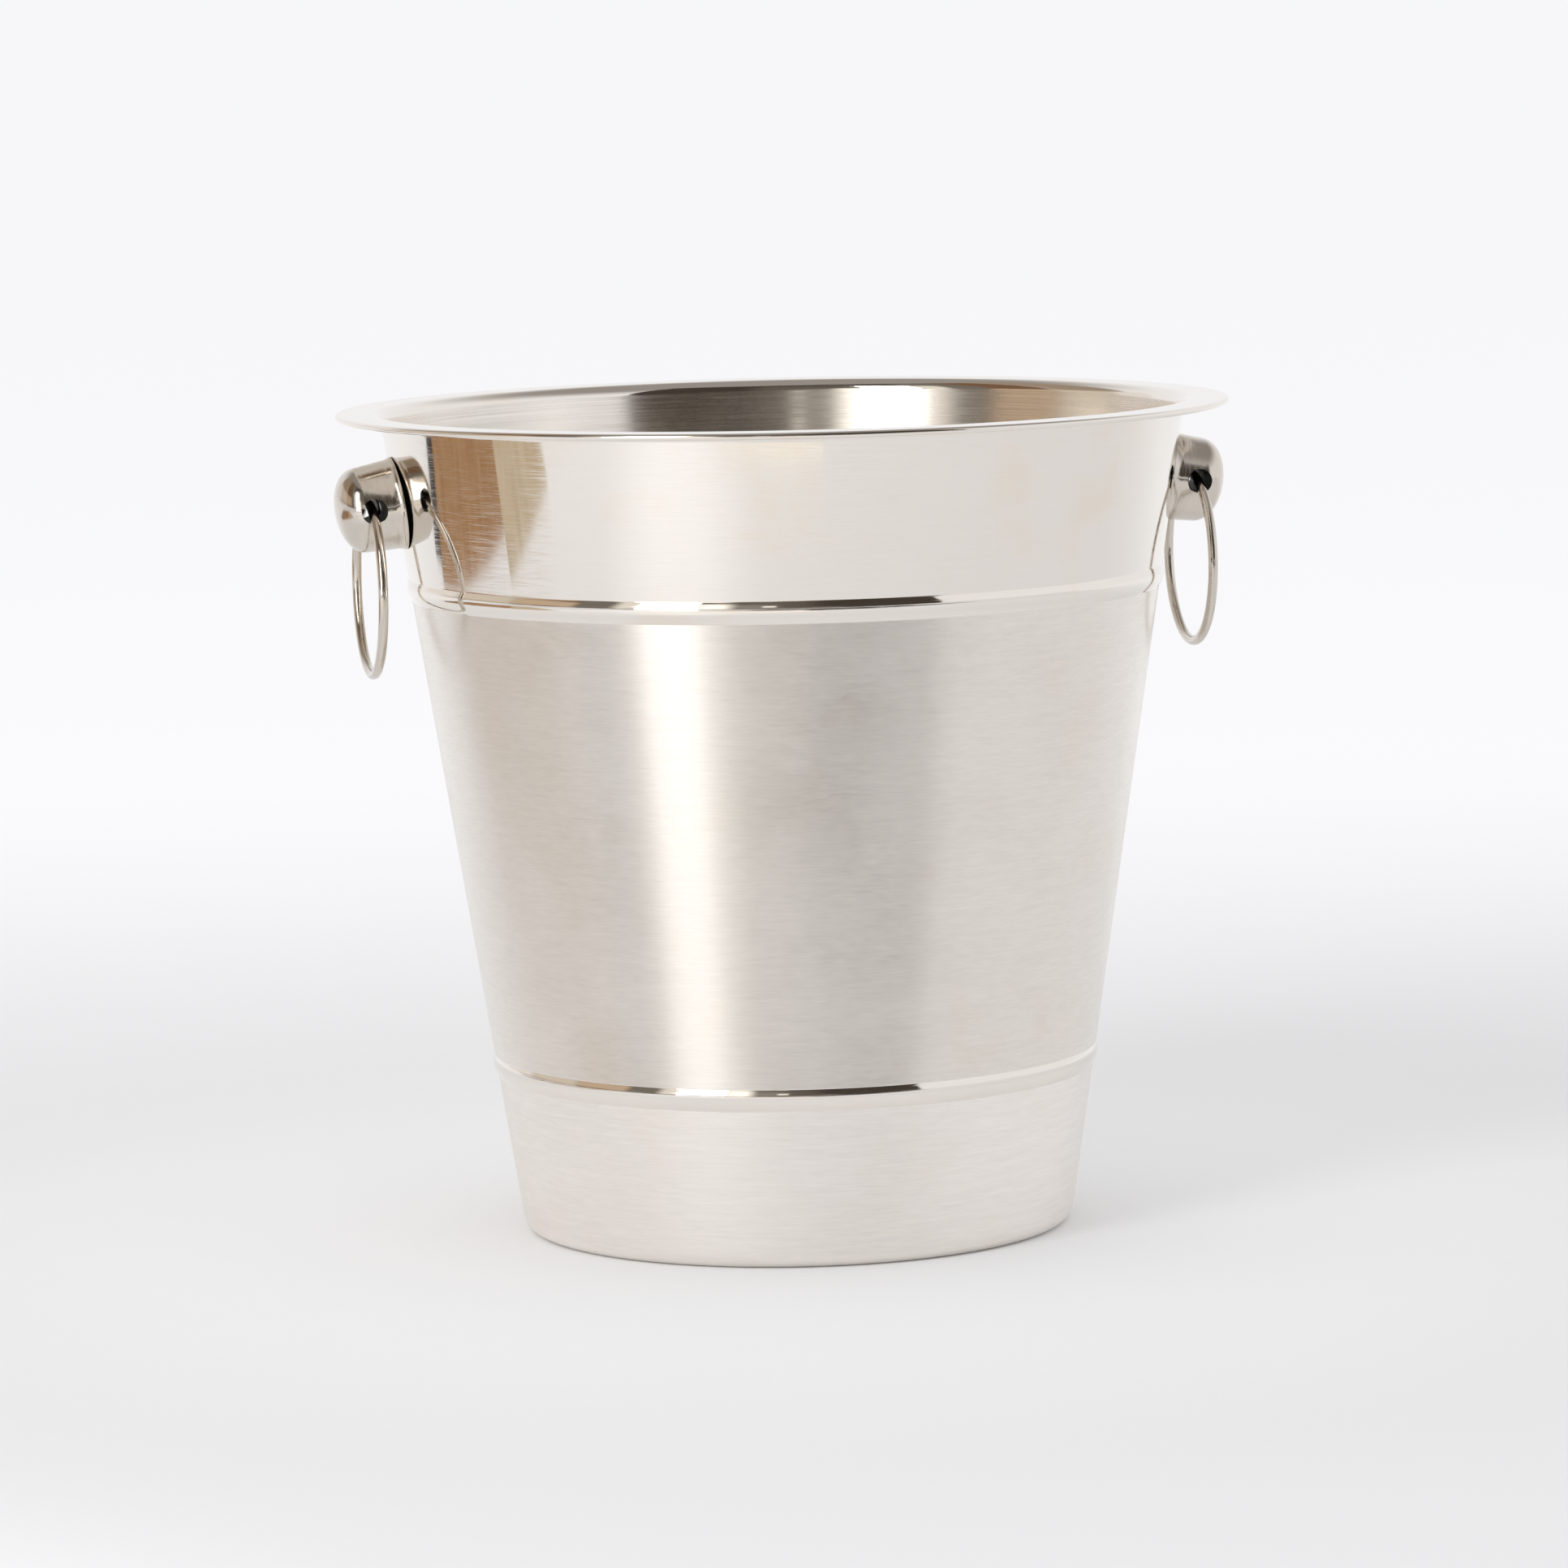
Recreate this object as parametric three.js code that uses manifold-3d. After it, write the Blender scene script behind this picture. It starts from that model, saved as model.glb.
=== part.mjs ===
// Wine and champagne bucket in spun stainless steel, with two ring handles.
//
// Millimetres, +Z up. The origin is the centre of the standing face, the bucket's axis is Z,
// and the handles sit on the X axis: left on -X, right on +X.
// Each handle is a domed knob screwed on through the wall, with a rubber seal in a pocket in its
// back. A wire ring passes through a cross bore in the knob and hangs from it, turning about the
// bore.

import * as THREE from 'three';
import { mergeVertices } from 'three/addons/utils/BufferGeometryUtils.js';
import Module from 'manifold-3d';

const wasm = await Module();
wasm.setup();

// ---- Driving dimensions ----

const GAP = 0.3; // clearance left between fixed pieces that touch on the real object

// Bucket shell, one drawn and spun sheet.
const HEIGHT = 213;
const RIM_RADIUS = 115;
const SHEET = 0.8;
const WALL_RADIUS_AT_BASE = 70.98; // outside of the straight wall, carried down to the standing face
const WALL_RADIUS_AT_RIM = 103.66; // the same, carried up to the rim's height
const BASE_CORNER_RADIUS = 4.5;
const RIM_FILLET_RADIUS = 2.5; // underneath, where the wall turns out into the rim
const RIM_EDGE_THICKNESS = 1.6; // the hemmed outer edge
const HEM_WIDTH = 2.6;

// Raised centre of the base, which leaves a flat ring to stand on.
const BASE_PANEL_RADIUS = 53;
const BASE_PANEL_RISE = 1.5;
const BASE_PANEL_RAMP = 2;

// Two beads rolled outwards around the wall.
const BEAD_HEIGHTS = [43.9, 167.8];
const BEAD_WIDTH = 5.6;
const BEAD_DEPTH = 0.75;

// Handle knobs. Distances along a knob's axis are counted from the outside of the wall.
const KNOB_HEIGHT = 191; // where the axis leaves the wall
const KNOB_REACH = 16.4; // wall to the crown of the dome
const KNOB_LIP_RADIUS = 12;
const KNOB_LIP_THICKNESS = 0.6;
const KNOB_NECK_RADIUS = 11.4;
const KNOB_NECK_LENGTH = 3; // the knob's back to the start of the straight side
const KNOB_SHOULDER_RADIUS = 10.95;
const KNOB_SHOULDER_REACH = 9.4; // wall to the start of the dome
const DOME_FULLNESS = 2.2; // exponent of a dome's curve: 2 is an ellipse, more is squarer

// Cross bore for the ring.
const BORE_REACH = 8.1; // wall to the bore's axis
const BORE_RADIUS = 3.1;
const BORE_CHAMFER_START = 10.35; // from the knob's axis, beyond which the mouth opens at 45 degrees

// Ring handles, bent from round wire.
const RING_RADIUS = 21.9; // to the middle of the wire
const WIRE_RADIUS = 1.25;
const RING_LIFT = 1.45; // middle of the wire above the bore's axis, at the top of the ring

// Fixing of each knob: seal in its back, washer and M5 pan-head screw inside the wall.
const SEAL_RADIUS = 10.5;
const SEAL_THICKNESS = 0.8;
const WALL_HOLE_RADIUS = 2.8;
const TAPPED_HOLE_RADIUS = 2.5;
const SCREW_SHANK_RADIUS = 2.2;
const SCREW_TIP_REACH = 4.8; // wall to the screw's tip, short of the ring's path in the bore
const SCREW_TIP_CHAMFER = 0.5;
const SCREW_HEAD_RADIUS = 4.75;
const SCREW_HEAD_HEIGHT = 2.6;
const SCREW_HEAD_EDGE = 1.1; // height of the head's side below its domed top
const RECESS_LENGTH = 4.6;
const RECESS_WIDTH = 0.9;
const RECESS_DEPTH = 1.5;
const WASHER_RADIUS = 6;
const WASHER_THICKNESS = 1;

// Facets of each round shape.
const SHELL_SEGMENTS = 64;
const KNOB_SEGMENTS = 32;
const SMALL_SEGMENTS = 24;
const SCREW_DOME_STEPS = 4;
const NECK_STEPS = 3;
const RING_SEGMENTS = 56;
const WIRE_SEGMENTS = 8;
const BEAD_STEPS = 4;
const FILLET_STEPS = 3;
const DOME_STEPS = 8;

// ---- Worked out from them ----

const WALL_SLOPE = (WALL_RADIUS_AT_RIM - WALL_RADIUS_AT_BASE) / HEIGHT;
const TAPER = Math.atan(WALL_SLOPE); // lean of the wall from the vertical
const COS_TAPER = Math.cos(TAPER);
const SIN_TAPER = Math.sin(TAPER);
const KNOB_BACK = GAP; // wall to the knob's flat back
const POCKET_FLOOR = 2 * GAP + SEAL_THICKNESS; // wall to the bottom of the seal's pocket in that back
const POCKET_RADIUS = SEAL_RADIUS + GAP;
const WALL_CURVE = WASHER_RADIUS ** 2 / (2 * wallRadius(KNOB_HEIGHT)); // wall's fall across a washer
const WASHER_FACE = -(SHEET + WALL_CURVE + GAP);
const WASHER_BACK = WASHER_FACE - WASHER_THICKNESS;

// ---- Finishes ----

const brushedSteel = () =>
  new THREE.MeshStandardMaterial({ color: 0xd6d3cd, roughness: 0.28, metalness: 1 });
const polishedNickel = () =>
  new THREE.MeshStandardMaterial({ color: 0xcfc7b8, roughness: 0.14, metalness: 1 });
const plainSteel = () =>
  new THREE.MeshStandardMaterial({ color: 0xb9b9b6, roughness: 0.35, metalness: 1 });
const blackRubber = () =>
  new THREE.MeshStandardMaterial({ color: 0x1b1a19, roughness: 0.8, metalness: 0 });

// ---- Helpers ----

/** Points on an arc in the (radius, height) plane, both ends included, angles in radians. */
function arc(centre, radius, from, to, steps) {
  return Array.from({ length: steps + 1 }, (_, i) => {
    const angle = from + ((to - from) * i) / steps;
    return new THREE.Vector2(
      centre.x + radius * Math.cos(angle),
      centre.y + radius * Math.sin(angle),
    );
  });
}

/** A solid of revolution about +Z from a profile of (radius, height) points. */
function turned(profile, segments) {
  return new THREE.LatheGeometry(profile, segments).rotateX(Math.PI / 2);
}

/** A profile from plain [radius, height] pairs. */
function profileOf(pairs) {
  return pairs.map(([radius, height]) => new THREE.Vector2(radius, height));
}

/** A three.js geometry as a solid that can be joined and cut. */
function solid(geometry) {
  const bare = geometry.clone();
  bare.deleteAttribute('normal');
  bare.deleteAttribute('uv');
  const merged = mergeVertices(bare, 1e-4);
  return new wasm.Manifold(new wasm.Mesh({
    numProp: 3,
    vertProperties: new Float32Array(merged.attributes.position.array),
    triVerts: new Uint32Array(merged.index.array),
  }));
}

/** A solid back as a three.js geometry. */
function geometryOf(shape) {
  const { vertProperties, triVerts } = shape.getMesh();
  const geometry = new THREE.BufferGeometry();
  geometry.setAttribute('position', new THREE.BufferAttribute(vertProperties, 3));
  geometry.setIndex(new THREE.BufferAttribute(triVerts, 1));
  geometry.computeVertexNormals();
  return geometry;
}

/** A geometry with each of the tools cut out of it. */
function cut(geometry, ...tools) {
  return geometryOf(tools.reduce((rest, tool) => rest.subtract(solid(tool)), solid(geometry)));
}

/**
 * Points on a quarter of a full, rounded curve about the axis, from the rim of a dome to its
 * crown, which is on the axis. A negative length makes a dome that points the other way.
 */
function dome(radius, start, length, steps) {
  return Array.from({ length: steps + 1 }, (_, i) => {
    const angle = ((Math.PI / 2) * i) / steps;
    const across = i === steps ? 0 : Math.cos(angle) ** (2 / DOME_FULLNESS);
    const along = Math.sin(angle) ** (2 / DOME_FULLNESS);
    return new THREE.Vector2(radius * across, start + length * along);
  });
}

/** A named mesh. */
function piece(name, geometry, material) {
  const mesh = new THREE.Mesh(geometry, material);
  mesh.name = name;
  return mesh;
}

// ---- Bucket shell ----

/** Outside radius of the straight wall at a height, without its beads. */
function wallRadius(height) {
  return WALL_RADIUS_AT_BASE + WALL_SLOPE * height;
}

/** Points up one face of the bead at a height: a shallow arc that stands out of the wall. */
function bead(height, width, inset) {
  const arcRadius = (width * width) / (8 * BEAD_DEPTH) + BEAD_DEPTH / 2;
  return Array.from({ length: BEAD_STEPS + 1 }, (_, i) => {
    const offset = width * (i / BEAD_STEPS - 0.5);
    const rise = Math.sqrt(arcRadius ** 2 - offset ** 2) - (arcRadius - BEAD_DEPTH);
    return new THREE.Vector2(wallRadius(height + offset) + rise - inset, height + offset);
  });
}

/** Both beads on one face of the wall, from the bottom up. */
function beads(width, inset) {
  return BEAD_HEIGHTS.flatMap((height) => bead(height, width, inset));
}

/** The spun shell's section: up the outside, over the rim and down the inside. */
function shellProfile() {
  const leanDown = -TAPER; // direction square to the wall, outwards
  const leanUp = Math.PI - TAPER; // and inwards
  const quarter = Math.PI / 2;

  const cornerFoot = BASE_CORNER_RADIUS * (1 - SIN_TAPER); // where the corner meets the wall
  const corner = new THREE.Vector2(
    wallRadius(cornerFoot) - BASE_CORNER_RADIUS * COS_TAPER,
    BASE_CORNER_RADIUS,
  );
  const filletHeight = HEIGHT - SHEET - RIM_FILLET_RADIUS;
  const fillet = new THREE.Vector2(
    wallRadius(filletHeight + RIM_FILLET_RADIUS * SIN_TAPER) + RIM_FILLET_RADIUS * COS_TAPER,
    filletHeight,
  );
  const rollRadius = RIM_EDGE_THICKNESS / 2;
  const roll = new THREE.Vector2(RIM_RADIUS - rollRadius, HEIGHT - rollRadius);
  const hem = RIM_RADIUS - HEM_WIDTH;
  const rampFoot = BASE_PANEL_RADIUS + BASE_PANEL_RAMP;

  const outside = [
    ...profileOf([[0, BASE_PANEL_RISE], [BASE_PANEL_RADIUS, BASE_PANEL_RISE], [rampFoot, 0]]),
    ...arc(corner, BASE_CORNER_RADIUS, -quarter, leanDown, FILLET_STEPS),
    ...beads(BEAD_WIDTH, 0),
    ...arc(fillet, RIM_FILLET_RADIUS, leanUp, quarter, FILLET_STEPS),
    ...profileOf([[hem, HEIGHT - SHEET], [hem, HEIGHT - RIM_EDGE_THICKNESS]]),
    ...arc(roll, rollRadius, -quarter, quarter, FILLET_STEPS),
  ];
  const inside = [
    ...arc(fillet, RIM_FILLET_RADIUS + SHEET, quarter, leanUp, FILLET_STEPS),
    ...beads(BEAD_WIDTH - SHEET, SHEET / COS_TAPER).reverse(),
    ...arc(corner, BASE_CORNER_RADIUS - SHEET, leanDown, -quarter, FILLET_STEPS),
    ...profileOf([
      [rampFoot, SHEET],
      [BASE_PANEL_RADIUS, BASE_PANEL_RISE + SHEET],
      [0, BASE_PANEL_RISE + SHEET],
    ]),
  ];
  return [...outside, ...inside];
}

/** A drill through the wall on a knob's axis, well longer than the sheet is thick. */
function wallDrill(side) {
  const length = KNOB_REACH;
  return new THREE.CylinderGeometry(WALL_HOLE_RADIUS, WALL_HOLE_RADIUS, length, SMALL_SEGMENTS)
    .rotateX(Math.PI / 2)
    .applyMatrix4(knobPlace(side));
}

function bucketShell() {
  const spun = turned(shellProfile(), SHELL_SEGMENTS);
  return piece('bucket_shell', cut(spun, wallDrill(-1), wallDrill(1)), brushedSteel());
}

// ---- Handles ----

/**
 * The place of a knob on the wall, as a matrix: the origin is where the knob's axis leaves the
 * wall, +Z points out along that axis, square to the wall, and +X points down the wall.
 */
function knobPlace(side) {
  const onWall = new THREE.Matrix4()
    .makeRotationY(Math.PI / 2 + TAPER)
    .setPosition(wallRadius(KNOB_HEIGHT), 0, KNOB_HEIGHT);
  const turn = side > 0 ? 0 : Math.PI;
  return new THREE.Matrix4().makeRotationZ(turn).multiply(onWall);
}

/** The hollow neck between the knob's lip and its side, as a quarter of an ellipse. */
function neck(lipTop, neckEnd) {
  return Array.from({ length: NECK_STEPS }, (_, i) => {
    const angle = ((Math.PI / 2) * (i + 1)) / NECK_STEPS;
    const radius = KNOB_LIP_RADIUS - (KNOB_LIP_RADIUS - KNOB_NECK_RADIUS) * Math.sin(angle);
    return new THREE.Vector2(radius, neckEnd - (neckEnd - lipTop) * Math.cos(angle));
  });
}

/** The knob's outline: the seal's pocket, lip, hollow neck, tapering side and dome. */
function knobProfile() {
  const lipTop = KNOB_BACK + KNOB_LIP_THICKNESS;
  const neckEnd = KNOB_BACK + KNOB_NECK_LENGTH;
  const domeLength = KNOB_REACH - KNOB_SHOULDER_REACH;
  return [
    ...profileOf([
      [0, POCKET_FLOOR],
      [POCKET_RADIUS, POCKET_FLOOR],
      [POCKET_RADIUS, KNOB_BACK],
      [KNOB_LIP_RADIUS, KNOB_BACK],
      [KNOB_LIP_RADIUS, lipTop],
    ]),
    ...neck(lipTop, neckEnd),
    ...dome(KNOB_SHOULDER_RADIUS, KNOB_SHOULDER_REACH, domeLength, DOME_STEPS),
  ];
}

/** The tool for the cross bore: a straight bore along Y that opens out at both mouths. */
function boreTool() {
  const mouth = KNOB_LIP_RADIUS + 1;
  const mouthRadius = BORE_RADIUS + mouth - BORE_CHAMFER_START;
  const profile = profileOf([
    [0, -mouth],
    [mouthRadius, -mouth],
    [BORE_RADIUS, -BORE_CHAMFER_START],
    [BORE_RADIUS, BORE_CHAMFER_START],
    [mouthRadius, mouth],
    [0, mouth],
  ]);
  return new THREE.LatheGeometry(profile, SMALL_SEGMENTS).translate(0, 0, BORE_REACH);
}

/** The tool for the tapped hole, from the bottom of the pocket into the cross bore. */
function tappedHoleTool() {
  const length = 2 * (BORE_REACH - POCKET_FLOOR);
  return new THREE.CylinderGeometry(TAPPED_HOLE_RADIUS, TAPPED_HOLE_RADIUS, length, SMALL_SEGMENTS)
    .rotateX(Math.PI / 2)
    .translate(0, 0, POCKET_FLOOR);
}

function knob(sideName) {
  const body = turned(knobProfile(), KNOB_SEGMENTS);
  return piece(`${sideName}_knob`, cut(body, boreTool(), tappedHoleTool()), polishedNickel());
}

/** A flat washer that starts at a distance from the wall and runs outwards. */
function flatRing(start, thickness, innerRadius, outerRadius) {
  return turned(profileOf([
    [innerRadius, start],
    [outerRadius, start],
    [outerRadius, start + thickness],
    [innerRadius, start + thickness],
    [innerRadius, start],
  ]), SMALL_SEGMENTS);
}

function sealWasher(sideName) {
  const geometry = flatRing(GAP, SEAL_THICKNESS, WALL_HOLE_RADIUS, SEAL_RADIUS);
  return piece(`${sideName}_seal_washer`, geometry, blackRubber());
}

function flatWasher(sideName) {
  const geometry = flatRing(WASHER_BACK, WASHER_THICKNESS, WALL_HOLE_RADIUS, WASHER_RADIUS);
  return piece(`${sideName}_washer`, geometry, plainSteel());
}

/** One slot of the screw's cross recess, open at the top of the head. */
function recessSlot(top, turn) {
  return new THREE.BoxGeometry(RECESS_LENGTH, RECESS_WIDTH, 2 * RECESS_DEPTH)
    .rotateZ(turn)
    .translate(0, 0, top);
}

function screw(sideName) {
  const seat = WASHER_BACK - GAP; // under the head
  const top = seat - SCREW_HEAD_HEIGHT;
  const domeStart = seat - SCREW_HEAD_EDGE;
  const crown = dome(SCREW_HEAD_RADIUS, domeStart, top - domeStart, SCREW_DOME_STEPS).reverse();
  const shank = profileOf([
    [SCREW_HEAD_RADIUS, seat],
    [SCREW_SHANK_RADIUS, seat],
    [SCREW_SHANK_RADIUS, SCREW_TIP_REACH - SCREW_TIP_CHAMFER],
    [SCREW_SHANK_RADIUS - SCREW_TIP_CHAMFER, SCREW_TIP_REACH],
    [0, SCREW_TIP_REACH],
  ]);
  const blank = turned([...crown, ...shank], SMALL_SEGMENTS);
  const cross = [0, Math.PI / 2].map((turn) => recessSlot(top, turn));
  return piece(`${sideName}_screw`, cut(blank, ...cross), plainSteel());
}

/** The ring handle, hanging straight down from the bore in the plane across the bucket's radius. */
function ringHandle(sideName, side) {
  const geometry = new THREE.TorusGeometry(RING_RADIUS, WIRE_RADIUS, WIRE_SEGMENTS, RING_SEGMENTS);
  const bore = new THREE.Vector3(0, 0, BORE_REACH).applyMatrix4(knobPlace(side));
  const ring = piece(`${sideName}_ring`, geometry, polishedNickel());
  ring.rotation.y = Math.PI / 2;
  ring.position.set(bore.x, bore.y, bore.z + RING_LIFT - RING_RADIUS);
  return ring;
}

/** One handle: what is fixed to the wall in a group square to it, and the ring that hangs free. */
function handle(sideName, side) {
  const fixed = new THREE.Group();
  fixed.applyMatrix4(knobPlace(side));
  fixed.add(knob(sideName), sealWasher(sideName), flatWasher(sideName), screw(sideName));
  const whole = new THREE.Group();
  whole.add(fixed, ringHandle(sideName, side));
  return whole;
}

// ---- The whole bucket ----

const bucket = new THREE.Group();
bucket.add(bucketShell(), handle('left', -1), handle('right', 1));

export default bucket;
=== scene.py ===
"""A champagne bucket in spun stainless steel, with a ring handle on each side.

The fine meshes and the finishes are built here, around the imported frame. Sizes are in metres.
The bucket stands on z = 0 with its axis on Z, and its handles lie on the X axis.
"""

import logging
import math
from dataclasses import dataclass, field, replace
from enum import Enum, IntEnum
from typing import ClassVar

import bpy
from mathutils import Matrix, Vector


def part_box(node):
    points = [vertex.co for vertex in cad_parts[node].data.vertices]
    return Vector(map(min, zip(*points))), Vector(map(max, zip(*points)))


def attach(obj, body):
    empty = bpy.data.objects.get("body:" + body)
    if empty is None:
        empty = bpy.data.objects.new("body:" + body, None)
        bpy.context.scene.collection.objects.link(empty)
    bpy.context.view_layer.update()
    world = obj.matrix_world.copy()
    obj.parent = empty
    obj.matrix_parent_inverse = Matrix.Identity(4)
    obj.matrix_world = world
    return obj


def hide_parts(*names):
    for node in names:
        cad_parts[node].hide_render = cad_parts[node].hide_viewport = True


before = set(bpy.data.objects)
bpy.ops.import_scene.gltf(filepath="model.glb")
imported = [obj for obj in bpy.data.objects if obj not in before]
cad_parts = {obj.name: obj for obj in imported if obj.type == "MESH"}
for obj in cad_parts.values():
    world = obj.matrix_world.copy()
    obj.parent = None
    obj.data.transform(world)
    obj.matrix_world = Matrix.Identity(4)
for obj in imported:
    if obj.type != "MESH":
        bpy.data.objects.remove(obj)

log = logging.getLogger("bucket")

Point = tuple[float, float]
Span = tuple[float, float]
Colour = tuple[float, float, float]

MM = 0.001
QUARTER = math.pi / 2
ZONE = "zone"  # attribute that says which finish a strip of a turned piece takes
MERGE = 0.001 * MM  # points of a turned piece that lie closer together become one
NOISE_SPAN: Span = (0.35, 0.65)  # most values of a noise lie between these
MIX_COLOURS = (6, 7)  # numbers of a Mix node's colour inputs
MIX_RESULT = 2  # number of its colour output


class Side(Enum):
    """The two sides of the bucket that carry a handle."""

    LEFT = -1
    RIGHT = 1

    @property
    def word(self) -> str:
        """The side's name as it is used in node names."""
        return self.name.lower()


class Zone(IntEnum):
    """The parts of the shell that are finished differently."""

    BASE = 0
    FOOT = 1
    WALL = 2
    COLLAR = 3
    INSIDE = 4


# ---------------------------------------------------------------------------
# Node trees
# ---------------------------------------------------------------------------


class Nodes:
    """Adds nodes to a tree and links them, for geometry, materials and the world alike."""

    def __init__(self, tree: bpy.types.NodeTree) -> None:
        """Starts on an empty tree.

        Args:
            tree: The tree to fill. What it held before is removed.
        """
        self.tree = tree
        tree.nodes.clear()

    def add(self, kind: str, inputs: dict | None = None, **settings: object) -> bpy.types.Node:
        """Adds one node.

        Args:
            kind: The node's type name.
            inputs: Values or sockets for its inputs, by the input's name or number.
            **settings: Properties of the node itself.

        Returns:
            The new node.
        """
        node = self.tree.nodes.new(kind)
        for name, value in settings.items():
            setattr(node, name, value)
        for key, value in (inputs or {}).items():
            if isinstance(value, bpy.types.NodeSocket):
                self.tree.links.new(value, node.inputs[key])
            else:
                node.inputs[key].default_value = value
        return node

    def math(self, operation: str, *values: object) -> bpy.types.NodeSocket:
        """Adds a Math node over numbers or sockets and returns its result."""
        node = self.add("ShaderNodeMath", dict(enumerate(values)), operation=operation)
        return node.outputs[0]

    def integer(self, operation: str, *values: object) -> bpy.types.NodeSocket:
        """Adds an Integer Math node over numbers or sockets and returns its result."""
        node = self.add("FunctionNodeIntegerMath", dict(enumerate(values)), operation=operation)
        return node.outputs[0]

    def chain(self, operation: str, first: object, *others: object) -> bpy.types.NodeSocket:
        """Joins several values by Math nodes of two inputs, one after another.

        Args:
            operation: The operation, such as ADD.
            first: The number or socket to start from.
            *others: The numbers or sockets that follow it.

        Returns:
            The result's socket.
        """
        result = first
        for value in others:
            result = self.math(operation, result, value)
        return result

    def blend(self, factor: object, first: object, second: object) -> bpy.types.NodeSocket:
        """Mixes two colours.

        Args:
            factor: The number or socket that says how much of the second is taken.
            first: The colour or socket at 0.
            second: The colour or socket at 1.

        Returns:
            The mixed colour's socket.
        """
        inputs = {"Factor": factor}
        for key, colour in zip(MIX_COLOURS, (first, second)):
            is_socket = isinstance(colour, bpy.types.NodeSocket)
            inputs[key] = colour if is_socket else (*colour, 1.0)
        return self.add("ShaderNodeMix", inputs, data_type="RGBA").outputs[MIX_RESULT]

    def ramp(self, value: object, low: float, high: float, start: float = 0.0, end: float = 1.0,
             smooth: bool = False) -> bpy.types.NodeSocket:
        """Maps a value from one range to another, held at both ends.

        Args:
            value: The socket or number to map.
            low: The value that gives start.
            high: The value that gives end.
            start: Result at low.
            end: Result at high.
            smooth: Whether the change eases in and out.

        Returns:
            The mapped value's socket.
        """
        node = self.add(
            "ShaderNodeMapRange",
            {"Value": value, "From Min": low, "From Max": high, "To Min": start, "To Max": end},
            interpolation_type="SMOOTHSTEP" if smooth else "LINEAR",
            clamp=True,
        )
        return node.outputs["Result"]


def new_material(name: str) -> tuple[bpy.types.Material, Nodes]:
    """Starts a material that is made of nodes.

    Args:
        name: The material's name.

    Returns:
        The material and the builder of its tree, which is empty.
    """
    material = bpy.data.materials.new(name)
    material.use_nodes = True
    return material, Nodes(material.node_tree)


def add_socket(tree: bpy.types.NodeTree, name: str, kind: str, outwards: bool = False) -> None:
    """Adds an input or output to a geometry tree.

    Args:
        tree: The geometry node tree.
        name: The socket's name.
        kind: The socket's type name.
        outwards: True for an output.
    """
    tree.interface.new_socket(name, in_out="OUTPUT" if outwards else "INPUT", socket_type=kind)


def finish_tree(nodes: Nodes, geometry: bpy.types.NodeSocket,
                coats: list[tuple[bpy.types.NodeSocket, bpy.types.NodeSocket | bool]]) -> None:
    """Ends a geometry tree with Realize Instances and its Set Material nodes.

    Args:
        nodes: The tree's builder.
        geometry: The geometry to finish.
        coats: A material socket and the faces it goes on, for each finish in turn.
    """
    last = nodes.add("GeometryNodeRealizeInstances", {"Geometry": geometry}).outputs[0]
    for material, where in coats:
        coat = nodes.add(
            "GeometryNodeSetMaterial",
            {"Geometry": last, "Selection": where, "Material": material},
        )
        last = coat.outputs[0]
    nodes.add("NodeGroupOutput", {0: last})


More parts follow.
